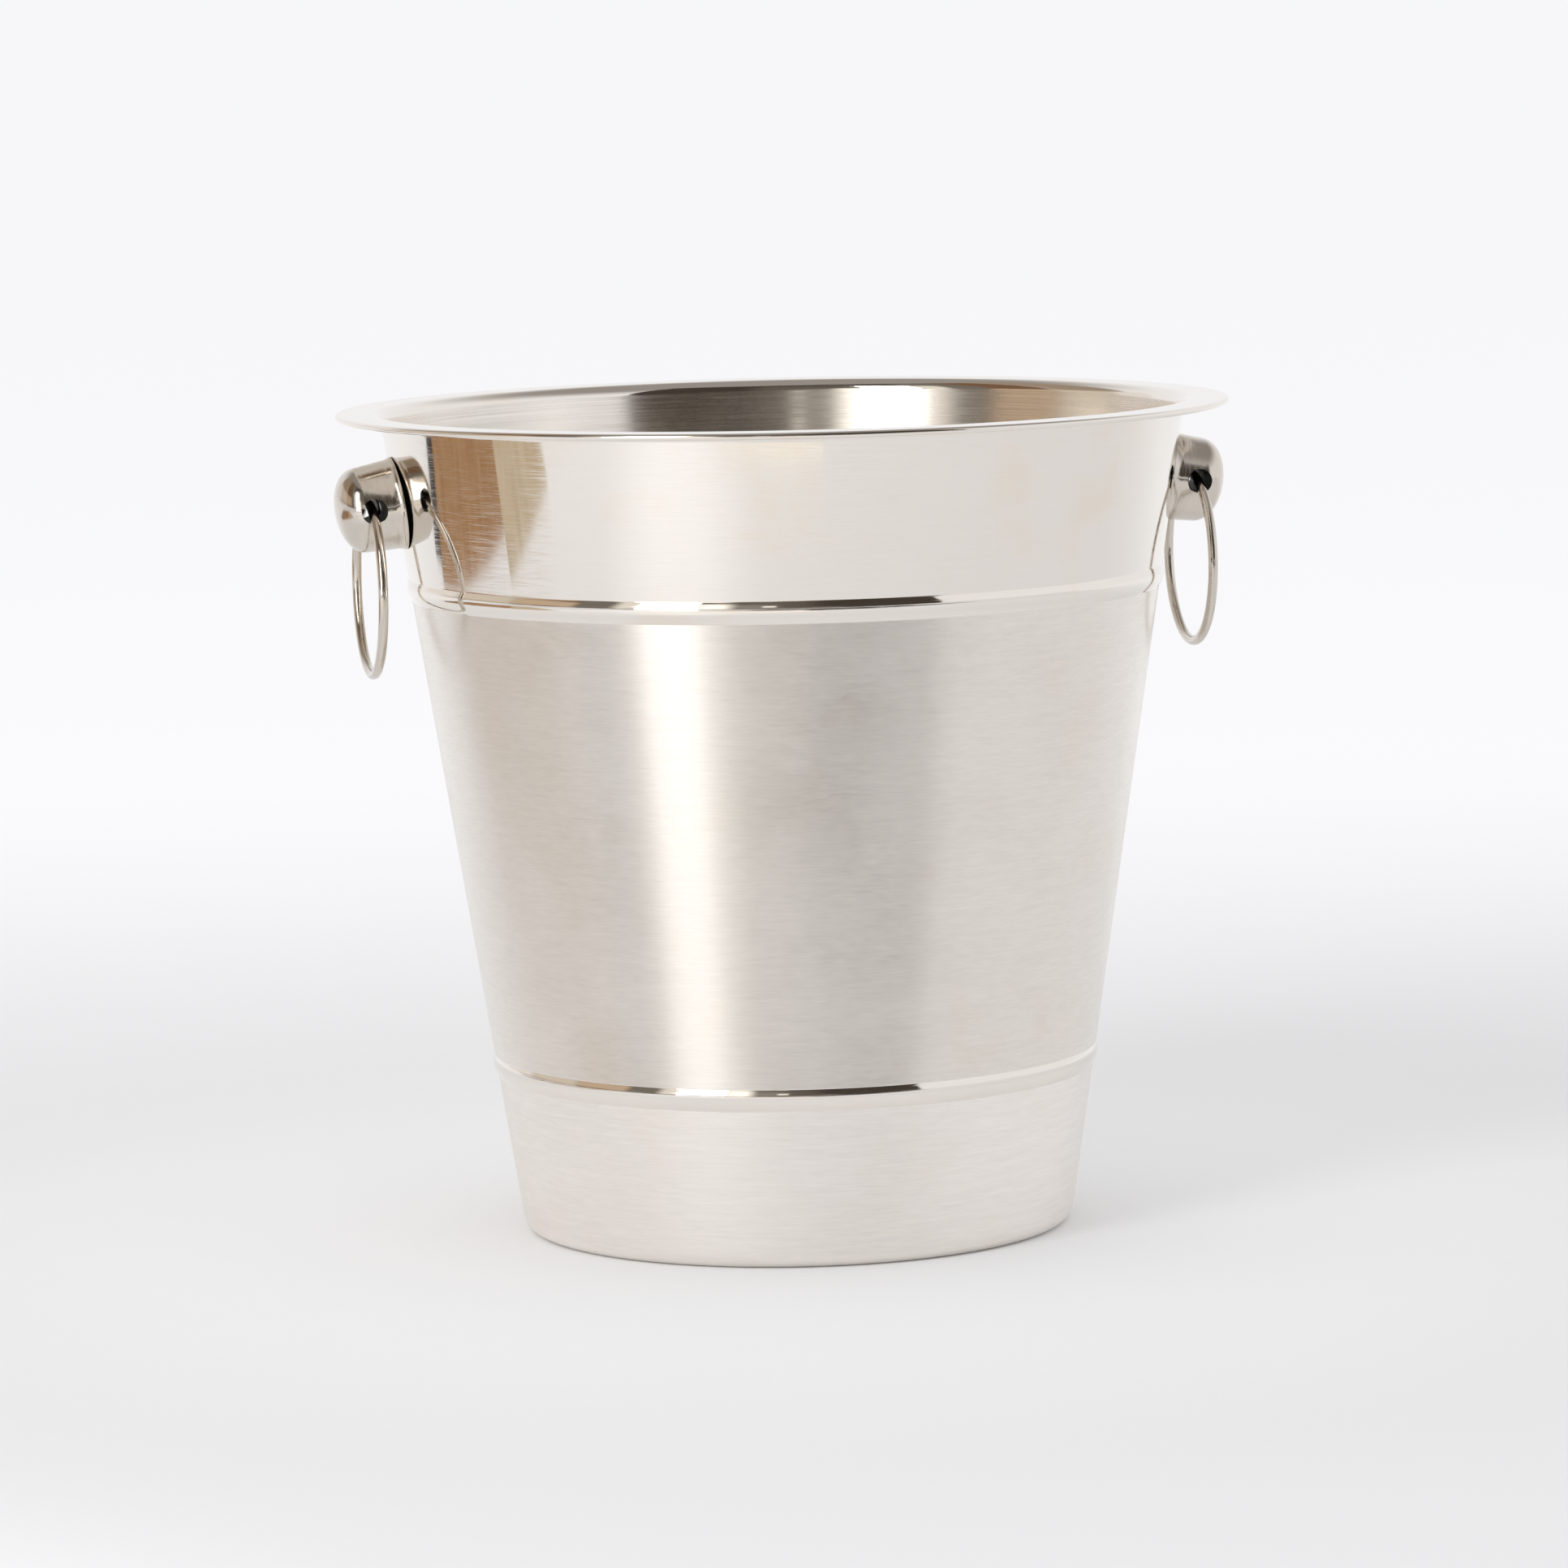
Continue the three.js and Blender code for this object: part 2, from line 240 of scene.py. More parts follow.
def turning_tree(finishes: int) -> bpy.types.NodeTree:
    """Builds the tree that turns an outline about Z into a closed solid.

    The outline is a chain of points in the XZ plane. A grid with a row for each of its points
    is wrapped round the axis, then its seam and its poles are merged.

    Args:
        finishes: How many zones the outline has, each with a material of its own.

    Returns:
        The geometry node tree.
    """
    tree = bpy.data.node_groups.new(f"turning_{finishes}", "GeometryNodeTree")
    nodes = Nodes(tree)
    add_socket(tree, "Geometry", "NodeSocketGeometry", outwards=True)
    add_socket(tree, "Outline", "NodeSocketGeometry")
    add_socket(tree, "Facets", "NodeSocketInt")
    add_socket(tree, "Merge", "NodeSocketFloat")
    for number in range(finishes):
        add_socket(tree, f"Finish {number}", "NodeSocketMaterial")
    given = nodes.add("NodeGroupInput").outputs

    count = nodes.add("GeometryNodeAttributeDomainSize", {0: given["Outline"]}).outputs["Point Count"]
    columns = nodes.integer("ADD", given["Facets"], 1)
    grid = nodes.add("GeometryNodeMeshGrid", {"Vertices X": columns, "Vertices Y": count})
    index = nodes.add("GeometryNodeInputIndex").outputs[0]

    row = nodes.integer("MODULO", index, count)
    column = nodes.integer("DIVIDE_FLOOR", index, count)
    on_outline = nodes.add(
        "GeometryNodeSampleIndex",
        {"Geometry": given["Outline"], "Index": row,
         "Value": nodes.add("GeometryNodeInputPosition").outputs[0]},
        data_type="FLOAT_VECTOR",
    ).outputs[0]
    radius, _, height = nodes.add("ShaderNodeSeparateXYZ", {0: on_outline}).outputs
    angle = nodes.math("MULTIPLY", column, nodes.math("DIVIDE", math.tau, given["Facets"]))
    place = nodes.add("ShaderNodeCombineXYZ", {
        "X": nodes.math("MULTIPLY", radius, nodes.math("COSINE", angle)),
        "Y": nodes.math("MULTIPLY", radius, nodes.math("SINE", angle)),
        "Z": height,
    }).outputs[0]
    wrapped = nodes.add("GeometryNodeSetPosition", {"Geometry": grid.outputs[0], "Position": place})

    zone = nodes.add("GeometryNodeInputNamedAttribute", {"Name": ZONE}, data_type="INT").outputs[0]
    strip = nodes.integer("MODULO", index, nodes.integer("SUBTRACT", count, 1))
    zone_of_strip = nodes.add(
        "GeometryNodeSampleIndex",
        {"Geometry": given["Outline"], "Index": strip, "Value": zone},
        data_type="INT",
    ).outputs[0]
    marked = nodes.add(
        "GeometryNodeStoreNamedAttribute",
        {"Geometry": wrapped.outputs[0], "Name": ZONE, "Value": zone_of_strip},
        data_type="INT", domain="FACE",
    )
    closed = nodes.add(
        "GeometryNodeMergeByDistance", {"Geometry": marked.outputs[0], "Distance": given["Merge"]},
    )
    smooth = nodes.add("GeometryNodeSetShadeSmooth", {"Geometry": closed.outputs[0]})
    coats = []
    for number in range(finishes):
        here = nodes.add(
            "FunctionNodeCompare", {"A": zone, "B": number}, data_type="INT", operation="EQUAL",
        ).outputs[0]
        coats.append((given[f"Finish {number}"], here))
    finish_tree(nodes, smooth.outputs[0], coats)
    return tree


def hoop_tree() -> bpy.types.NodeTree:
    """Builds the tree that bends round wire into a hoop about Z.

    Returns:
        The geometry node tree.
    """
    tree = bpy.data.node_groups.new("hoop", "GeometryNodeTree")
    nodes = Nodes(tree)
    add_socket(tree, "Geometry", "NodeSocketGeometry", outwards=True)
    for name in ("Hoop radius", "Wire radius"):
        add_socket(tree, name, "NodeSocketFloat")
    for name in ("Hoop facets", "Wire facets"):
        add_socket(tree, name, "NodeSocketInt")
    add_socket(tree, "Finish", "NodeSocketMaterial")
    given = nodes.add("NodeGroupInput").outputs
    path = nodes.add(
        "GeometryNodeCurvePrimitiveCircle",
        {"Resolution": given["Hoop facets"], "Radius": given["Hoop radius"]},
    )
    section = nodes.add(
        "GeometryNodeCurvePrimitiveCircle",
        {"Resolution": given["Wire facets"], "Radius": given["Wire radius"]},
    )
    wire = nodes.add(
        "GeometryNodeCurveToMesh", {"Curve": path.outputs[0], "Profile Curve": section.outputs[0]},
    )
    smooth = nodes.add("GeometryNodeSetShadeSmooth", {"Geometry": wire.outputs[0]})
    finish_tree(nodes, smooth.outputs[0], [(given["Finish"], True)])
    return tree


# ---------------------------------------------------------------------------
# Meshes
# ---------------------------------------------------------------------------


@dataclass
class Outline:
    """A turned piece's section: points of (radius, height) and the zone of each strip."""

    points: list[Point] = field(default_factory=list)
    zones: list[int] = field(default_factory=list)

    def add(self, points: list[Point], zone: int = 0) -> None:
        """Adds points to the end.

        Args:
            points: The points, in the order in which the outline passes them.
            zone: The zone of the strips that start at them.
        """
        self.points += points
        self.zones += [zone] * len(points)

    def refined(self, guard: float, longest: float) -> "Outline":
        """Copies the outline with its long stretches divided.

        A guard point close to each end of a long stretch keeps the shading of the curve beside
        it from spreading over the stretch.

        Args:
            guard: Distance of a guard point from the end of its stretch.
            longest: Length that no stretch passes.

        Returns:
            The finer outline.
        """
        fine = Outline()
        for number, start in enumerate(self.points[:-1]):
            end = self.points[number + 1]
            length = math.dist(start, end)
            stops = [0.0]
            if length > 4 * guard:
                pieces = math.ceil((length - 2 * guard) / longest)
                step = (length - 2 * guard) / pieces
                stops += [guard + step * i for i in range(pieces + 1)]
            fine.add([
                (start[0] + (end[0] - start[0]) * at / length,
                 start[1] + (end[1] - start[1]) * at / length)
                for at in stops
            ], self.zones[number])
        fine.add([self.points[-1]], self.zones[-1])
        return fine

    def mesh(self) -> bpy.types.Mesh:
        """Makes the outline a chain of edges in the XZ plane, with its zones on its points.

        Returns:
            The mesh.
        """
        mesh = bpy.data.meshes.new("outline")
        edges = [(i, i + 1) for i in range(len(self.points) - 1)]
        mesh.from_pydata([(radius, 0.0, height) for radius, height in self.points], edges, [])
        mesh.attributes.new(ZONE, "INT", "POINT").data.foreach_set("value", self.zones)
        return mesh


def arc(centre: Point, radius: float, start: float, end: float, steps: int) -> list[Point]:
    """Points on an arc, both ends included.

    Args:
        centre: The arc's centre.
        radius: Its radius.
        start: Angle of its first point, in radians from the outward direction.
        end: Angle of its last point.
        steps: How many chords it is divided into.

    Returns:
        The points.
    """
    angles = [start + (end - start) * i / steps for i in range(steps + 1)]
    return [(centre[0] + radius * math.cos(a), centre[1] + radius * math.sin(a)) for a in angles]


def dome(radius: float, start: float, length: float, fullness: float, steps: int) -> list[Point]:
    """Points from the edge of a rounded dome to its crown on the axis.

    Args:
        radius: The dome's radius where it starts.
        start: Height at which it starts.
        length: Its height, negative for one that points down.
        fullness: Exponent of its curve: 2 is an ellipse, more is squarer.
        steps: How many chords it is divided into.

    Returns:
        The points.
    """
    points = []
    for number in range(steps):
        angle = QUARTER * number / steps
        across = math.cos(angle) ** (2 / fullness)
        along = math.sin(angle) ** (2 / fullness)
        points.append((radius * across, start + length * along))
    return [*points, (0.0, start + length)]


def flat_mesh(name: str, low: Point, high: Point, height: float = 0.0) -> bpy.types.Mesh:
    """Makes a flat rectangle that faces up.

    Args:
        name: The mesh's name.
        low: Its corner with the smallest x and y.
        high: Its corner with the largest x and y.
        height: The height at which it lies.

    Returns:
        The mesh.
    """
    mesh = bpy.data.meshes.new(name)
    places = [(low[0], low[1]), (high[0], low[1]), (high[0], high[1]), (low[0], high[1])]
    mesh.from_pydata([(x, y, height) for x, y in places], [], [(0, 1, 2, 3)])
    return mesh


def new_object(name: str, data: bpy.types.ID) -> bpy.types.Object:
    """Puts a mesh, light or camera in the scene as an object at the origin.

    Args:
        name: The object's name.
        data: The mesh, light or camera.

    Returns:
        The object.
    """
    made = bpy.data.objects.new(name, data)
    bpy.context.scene.collection.objects.link(made)
    return made


def plain_copy(host: bpy.types.Object, name: str) -> bpy.types.Object:
    """Turns an object with modifiers into a plain mesh object, and removes the host.

    Args:
        host: The object that carries the modifiers.
        name: The plain object's name.

    Returns:
        The plain object.
    """
    bpy.context.view_layer.update()
    graph = bpy.context.evaluated_depsgraph_get()
    mesh = bpy.data.meshes.new_from_object(host.evaluated_get(graph))
    mesh.name = name
    bpy.data.objects.remove(host)
    return new_object(name, mesh)


def grown(name: str, seed: bpy.types.Mesh, tree: bpy.types.NodeTree,
          values: dict[str, object]) -> bpy.types.Object:
    """Runs a geometry tree once on a mesh and keeps the result as a plain mesh.

    Args:
        name: The piece's name.
        seed: The mesh that the tree starts from.
        tree: The geometry node tree.
        values: Its inputs, by name.

    Returns:
        The plain object.
    """
    host = new_object(f"{name}_host", seed)
    modifier = host.modifiers.new("shape", "NODES")
    modifier.node_group = tree
    for item in tree.interface.items_tree:
        if item.item_type == "SOCKET" and item.in_out == "INPUT" and item.name in values:
            modifier[item.identifier] = values[item.name]
    return plain_copy(host, name)


def turned(name: str, outline: Outline, facets: int,
           finishes: list[bpy.types.Material]) -> bpy.types.Object:
    """Turns an outline about Z.

    Args:
        name: The piece's name.
        outline: Its section.
        facets: How many facets it has round the axis.
        finishes: The material of each zone.

    Returns:
        The piece.
    """
    tree_name = f"turning_{len(finishes)}"
    tree = bpy.data.node_groups.get(tree_name) or turning_tree(len(finishes))
    values = {"Facets": facets, "Merge": MERGE}
    values |= {f"Finish {number}": finish for number, finish in enumerate(finishes)}
    return grown(name, outline.mesh(), tree, values)


def cut(piece: bpy.types.Object, tools: list[bpy.types.Object]) -> bpy.types.Object:
    """Cuts tools out of a piece, then removes them and keeps the new edges crisp.

    Args:
        piece: The piece to cut.
        tools: What to take away from it.

    Returns:
        The cut piece, under the same name.
    """
    name = piece.name
    piece.name = f"{name}_blank"
    for tool in tools:
        modifier = piece.modifiers.new("cut", "BOOLEAN")
        modifier.operation = "DIFFERENCE"
        modifier.solver = "EXACT"
        modifier.material_mode = "TRANSFER"
        modifier.object = tool
    result = plain_copy(piece, name)
    for tool in tools:
        bpy.data.objects.remove(tool)
    crisp(result)
    return result


def crisp(piece: bpy.types.Object, angle: float = math.radians(28)) -> None:
    """Shades a piece smooth, but keeps edges sharper than an angle sharp."""
    piece.data.set_sharp_from_angle(angle=angle)


def ride(piece: bpy.types.Object, body: str, slot: str, *nodes: str) -> None:
    """Hands a finished piece to the frame and reports it.

    Args:
        piece: The finished piece.
        body: The CAD body it moves with.
        slot: The record's material slot. Not used.
        *nodes: The CAD nodes that it stands for.
    """
    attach(piece, body)
    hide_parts(*nodes)
    log.info("%s: %d faces, rides on %s, stands for %s",
             piece.name, len(piece.data.polygons), body, ", ".join(nodes))


# ---------------------------------------------------------------------------
# Finishes
# ---------------------------------------------------------------------------


@dataclass(frozen=True)
class TurnedMetal:
    """Bare metal with fine lines that run round an axis, from brushing, spinning or polishing.

    The lines are a noise squeezed along the piece's section and drawn out round its axis, which
    is the piece's own Z unless the finish is centred somewhere else. Some lines are scratched
    rougher than the metal between them.
    """

    name: str
    colour: Colour
    roughness: float
    scratches: float  # roughness of a scratched line
    scratched: float  # share of the lines that are scratched, from 0 to 1
    anisotropy: float  # how much more the highlight spreads across the lines than along them
    line_pitch: float  # usual distance between lines
    line_depth: float
    line_reach: float  # how far a line runs before it fades
    contrast: float = 0.04  # how much single lines lighten or darken the metal
    cloudiness: float = 0.08  # how much roughness and colour drift over the surface
    cloud_size: float = 30 * MM
    stain: Colour = (1.0, 0.985, 0.96)  # tint of the metal where it has drifted furthest
    centre: Matrix | None = None  # the axis's place, for a piece that isn't turned about Z

    COARSE_PITCH: ClassVar[float] = 6.0  # pitch of the coarse lines, over that of the fine ones
    COARSE_REACH: ClassVar[float] = 3.0  # the same for how far they run
    FINE_SHARE: ClassVar[float] = 0.6  # of the lines' depth; the coarse ones make the rest
    COARSE_SHARE: ClassVar[float] = 0.4
    NONE_SCRATCHED: ClassVar[float] = 0.62  # noise value that few lines pass
    ALL_SCRATCHED: ClassVar[float] = 0.38  # noise value that most lines pass
    PARTING: ClassVar[float] = 0.04  # how softly clean lines turn into scratched ones
    STAINED: ClassVar[Span] = (0.5, 0.75)  # cloud values where the stain starts and is full
    ACROSS: ClassVar[float] = 0.25  # share of a turn that lays the highlight across the lines

    def about(self, centre: Matrix, word: str) -> "TurnedMetal":
        """Copies the finish for a piece that is turned about an axis of its own.

        Args:
            centre: The axis's place.
            word: What the copy's name ends with.

        Returns:
            The copy.
        """
        return replace(self, name=f"{self.name}_{word}", centre=centre)

    def build(self) -> bpy.types.Material:
        """Makes the material.

        Returns:
            The material.
        """
        material, nodes = new_material(self.name)
        place = nodes.add("ShaderNodeTexCoord").outputs["Object"]
        if self.centre is not None:
            place = self._centred(nodes, place)
        x, y, z = nodes.add("ShaderNodeSeparateXYZ", {0: place}).outputs
        radius = nodes.math("SQRT", nodes.math(
            "ADD", nodes.math("MULTIPLY", x, x), nodes.math("MULTIPLY", y, y)))
        section = nodes.math("ADD", radius, z)  # grows along the wall and across flat faces alike

        fine = self._lines(nodes, x, y, section, self.line_pitch, self.line_reach)
        coarse = self._lines(nodes, x, y, section, self.line_pitch * self.COARSE_PITCH,
                             self.line_reach * self.COARSE_REACH)
        clouds = nodes.add("ShaderNodeTexNoise", {
            "Vector": place, "Scale": 1 / self.cloud_size, "Detail": 4.0, "Roughness": 0.6,
        }).outputs["Fac"]

        depth = nodes.math("ADD", nodes.math("MULTIPLY", fine, self.FINE_SHARE),
                           nodes.math("MULTIPLY", coarse, self.COARSE_SHARE))
        bump = nodes.add("ShaderNodeBump", {
            "Strength": 1.0, "Distance": self.line_depth, "Height": depth,
        }).outputs["Normal"]

        drift = nodes.ramp(clouds, *NOISE_SPAN, -self.cloudiness, self.cloudiness)
        span = self.NONE_SCRATCHED - self.ALL_SCRATCHED
        middle = self.NONE_SCRATCHED - span * self.scratched  # parts scratched from clean lines
        lined = nodes.ramp(fine, middle - self.PARTING, middle + self.PARTING,
                           self.roughness, self.scratches)
        roughness = nodes.math("MULTIPLY", lined, nodes.math("ADD", 1.0, drift))

        grit = nodes.ramp(depth, *NOISE_SPAN, 1 + self.contrast, 1 - self.contrast)
        tinted = [base * tint for base, tint in zip(self.colour, self.stain)]
        stained = nodes.blend(nodes.ramp(clouds, *self.STAINED, smooth=True), self.colour, tinted)
        shade = nodes.add("ShaderNodeVectorMath", {0: stained, "Scale": grit}, operation="SCALE")

        shader = nodes.add("ShaderNodeBsdfPrincipled", {
            "Base Color": shade.outputs[0],
            "Metallic": 1.0,
            "Roughness": roughness,
            "Anisotropic": self.anisotropy,
            "Anisotropic Rotation": self.ACROSS,
            "Normal": bump,
            "Tangent": self._tangent(nodes, x, y),
        })
        nodes.add("ShaderNodeOutputMaterial", {"Surface": shader.outputs[0]})
        return material

    def _centred(self, nodes: Nodes, place: bpy.types.NodeSocket) -> bpy.types.NodeSocket:
        """Moves coordinates into the frame of the piece's own axis.

        Args:
            nodes: The material's builder.
            place: The Object coordinates.

        Returns:
            The coordinates about the axis.
        """
        where, turn, _ = self.centre.decompose()
        moved = nodes.add("ShaderNodeVectorMath", {0: place, 1: where}, operation="SUBTRACT")
        return nodes.add("ShaderNodeMapping", {
            "Vector": moved.outputs[0], "Rotation": turn.inverted().to_euler(),
        }).outputs[0]

    def _lines(self, nodes: Nodes, x: bpy.types.NodeSocket, y: bpy.types.NodeSocket,
               section: bpy.types.NodeSocket, pitch: float, reach: float) -> bpy.types.NodeSocket:
        """Adds one noise of lines round the axis.

        Args:
            nodes: The material's builder.
            x: First coordinate across the axis.
            y: Second coordinate across the axis.
            section: Distance along the piece's section.
            pitch: Usual distance between the lines.
            reach: How far a line runs.

        Returns:
            The noise, from 0 to 1.
        """
        squeezed = nodes.add("ShaderNodeCombineXYZ", {
            "X": nodes.math("DIVIDE", x, reach),
            "Y": nodes.math("DIVIDE", y, reach),
            "Z": nodes.math("DIVIDE", section, pitch),
        }).outputs[0]
        return nodes.add("ShaderNodeTexNoise", {
            "Vector": squeezed, "Scale": 1.0, "Detail": 2.0, "Roughness": 0.6,
        }).outputs["Fac"]

    def _tangent(self, nodes: Nodes, x: bpy.types.NodeSocket,
                 y: bpy.types.NodeSocket) -> bpy.types.NodeSocket:
        """Adds the direction in which the lines run.

        Args:
            nodes: The material's builder.
            x: First coordinate across the axis.
            y: Second coordinate across the axis.

        Returns:
            The direction.
        """
        if self.centre is None:
            return nodes.add("ShaderNodeTangent", direction_type="RADIAL", axis="Z").outputs[0]
        along = nodes.add("ShaderNodeCombineXYZ", {"X": nodes.math("MULTIPLY", y, -1.0), "Y": x})
        turn = self.centre.to_quaternion().to_euler()
        back = nodes.add("ShaderNodeMapping", {"Vector": along.outputs[0], "Rotation": turn})
        return nodes.add("ShaderNodeVectorMath", {0: back.outputs[0]}, operation="NORMALIZE").outputs[0]


@dataclass(frozen=True)
class SealRubber:
    """Matt black rubber with a fine grain."""

    name: str = "seal_rubber"
    colour: Colour = (0.018, 0.018, 0.018)
    roughness: float = 0.75
    unevenness: float = 0.1  # how far roughness strays from that
    shades: Span = (0.8, 1.3)  # how much the grain darkens and lightens the colour
    grain: float = 0.25 * MM  # size of a grain
    grain_depth: float = 0.25 * MM / 8
    grain_span: Span = (0.3, 0.7)  # noise values of the lowest and the highest grains

    def build(self) -> bpy.types.Material:
        """Makes the material.

        Returns:
            The material.
        """
        material, nodes = new_material(self.name)
        place = nodes.add("ShaderNodeTexCoord").outputs["Object"]
        grain = nodes.add("ShaderNodeTexNoise", {
            "Vector": place, "Scale": 1 / self.grain, "Detail": 2.0,
        }).outputs["Fac"]
        bump = nodes.add("ShaderNodeBump", {
            "Strength": 0.6, "Distance": self.grain_depth, "Height": grain,
        }).outputs["Normal"]
        shade = nodes.ramp(grain, *self.grain_span, *self.shades)
        roughness = nodes.ramp(grain, *self.grain_span,
                               self.roughness - self.unevenness, self.roughness + self.unevenness)
        tint = nodes.add("ShaderNodeVectorMath", {0: self.colour, "Scale": shade}, operation="SCALE")
        shader = nodes.add("ShaderNodeBsdfPrincipled", {
            "Base Color": tint.outputs[0],
            "Roughness": roughness,
            "Normal": bump,
        })
        nodes.add("ShaderNodeOutputMaterial", {"Surface": shader.outputs[0]})
        return material


STEEL: Colour = (0.86, 0.815, 0.76)
SATIN_STEEL: Colour = (0.92, 0.88, 0.84)
NICKEL: Colour = (0.68, 0.63, 0.565)
PLAIN_STEEL: Colour = (0.62, 0.61, 0.59)
# painted shade: drilled metal darkened almost to black, so that the bore and the tapped hole stay dark
PAINTED_SHADE_DRILLED_METAL: Colour = (0.05, 0.045, 0.04)

WALL_FINISH = TurnedMetal(
    "brushed_wall", STEEL, roughness=0.32, scratches=0.36, scratched=0.4, anisotropy=0.95,
    line_pitch=0.2 * MM, line_depth=0.003 * MM, line_reach=4 * MM, contrast=0.04)
FOOT_FINISH = TurnedMetal(
    "satin_foot", SATIN_STEEL, roughness=0.36, scratches=0.42, scratched=0.5, anisotropy=0.35,
    line_pitch=0.2 * MM, line_depth=0.003 * MM, line_reach=6 * MM, contrast=0.04)
COLLAR_FINISH = TurnedMetal(
    "polished_collar", STEEL, roughness=0.05, scratches=0.14, scratched=0.25, anisotropy=0.7,
    line_pitch=0.18 * MM, line_depth=0.0006 * MM, line_reach=10 * MM, contrast=0.01,
    cloudiness=0.12, cloud_size=22 * MM, stain=(1.0, 0.97, 0.92))
INSIDE_FINISH = TurnedMetal(
    "spun_inside", STEEL, roughness=0.2, scratches=0.27, scratched=0.4, anisotropy=0.65,
    line_pitch=0.25 * MM, line_depth=0.0025 * MM, line_reach=50 * MM, contrast=0.05,
    cloudiness=0.12)
BASE_FINISH = TurnedMetal(
    "satin_base", STEEL, roughness=0.4, scratches=0.46, scratched=0.5, anisotropy=0.6,
    line_pitch=0.3 * MM, line_depth=0.003 * MM, line_reach=20 * MM, cloudiness=0.15)
KNOB_FINISH = TurnedMetal(
    "polished_nickel", NICKEL, roughness=0.12, scratches=0.2, scratched=0.3, anisotropy=0.6,
    line_pitch=0.22 * MM, line_depth=0.001 * MM, line_reach=5 * MM, contrast=0.03,
    cloudiness=0.15, cloud_size=4 * MM)
# finish of the bore and the tapped hole, with painted shade in its dark colour
PAINTED_SHADE_BORE_FINISH = TurnedMetal(
    "drilled_metal_painted_shade", PAINTED_SHADE_DRILLED_METAL, roughness=0.5, scratches=0.6, scratched=0.5, anisotropy=0.3,
    line_pitch=0.2 * MM, line_depth=0.01 * MM, line_reach=2 * MM)
FASTENER_FINISH = TurnedMetal(
    "fastener_steel", PLAIN_STEEL, roughness=0.3, scratches=0.45, scratched=0.4, anisotropy=0.6,
    line_pitch=0.2 * MM, line_depth=0.004 * MM, line_reach=4 * MM, contrast=0.08,
    cloudiness=0.2, cloud_size=4 * MM)
RING_FINISH = TurnedMetal(
    "ring_nickel", NICKEL, roughness=0.12, scratches=0.24, scratched=0.3, anisotropy=0.0,
    line_pitch=0.2 * MM, line_depth=0.0015 * MM, line_reach=10 * MM, contrast=0.07,
    cloudiness=0.3, cloud_size=6 * MM)


# ---------------------------------------------------------------------------
# The bucket
# ---------------------------------------------------------------------------


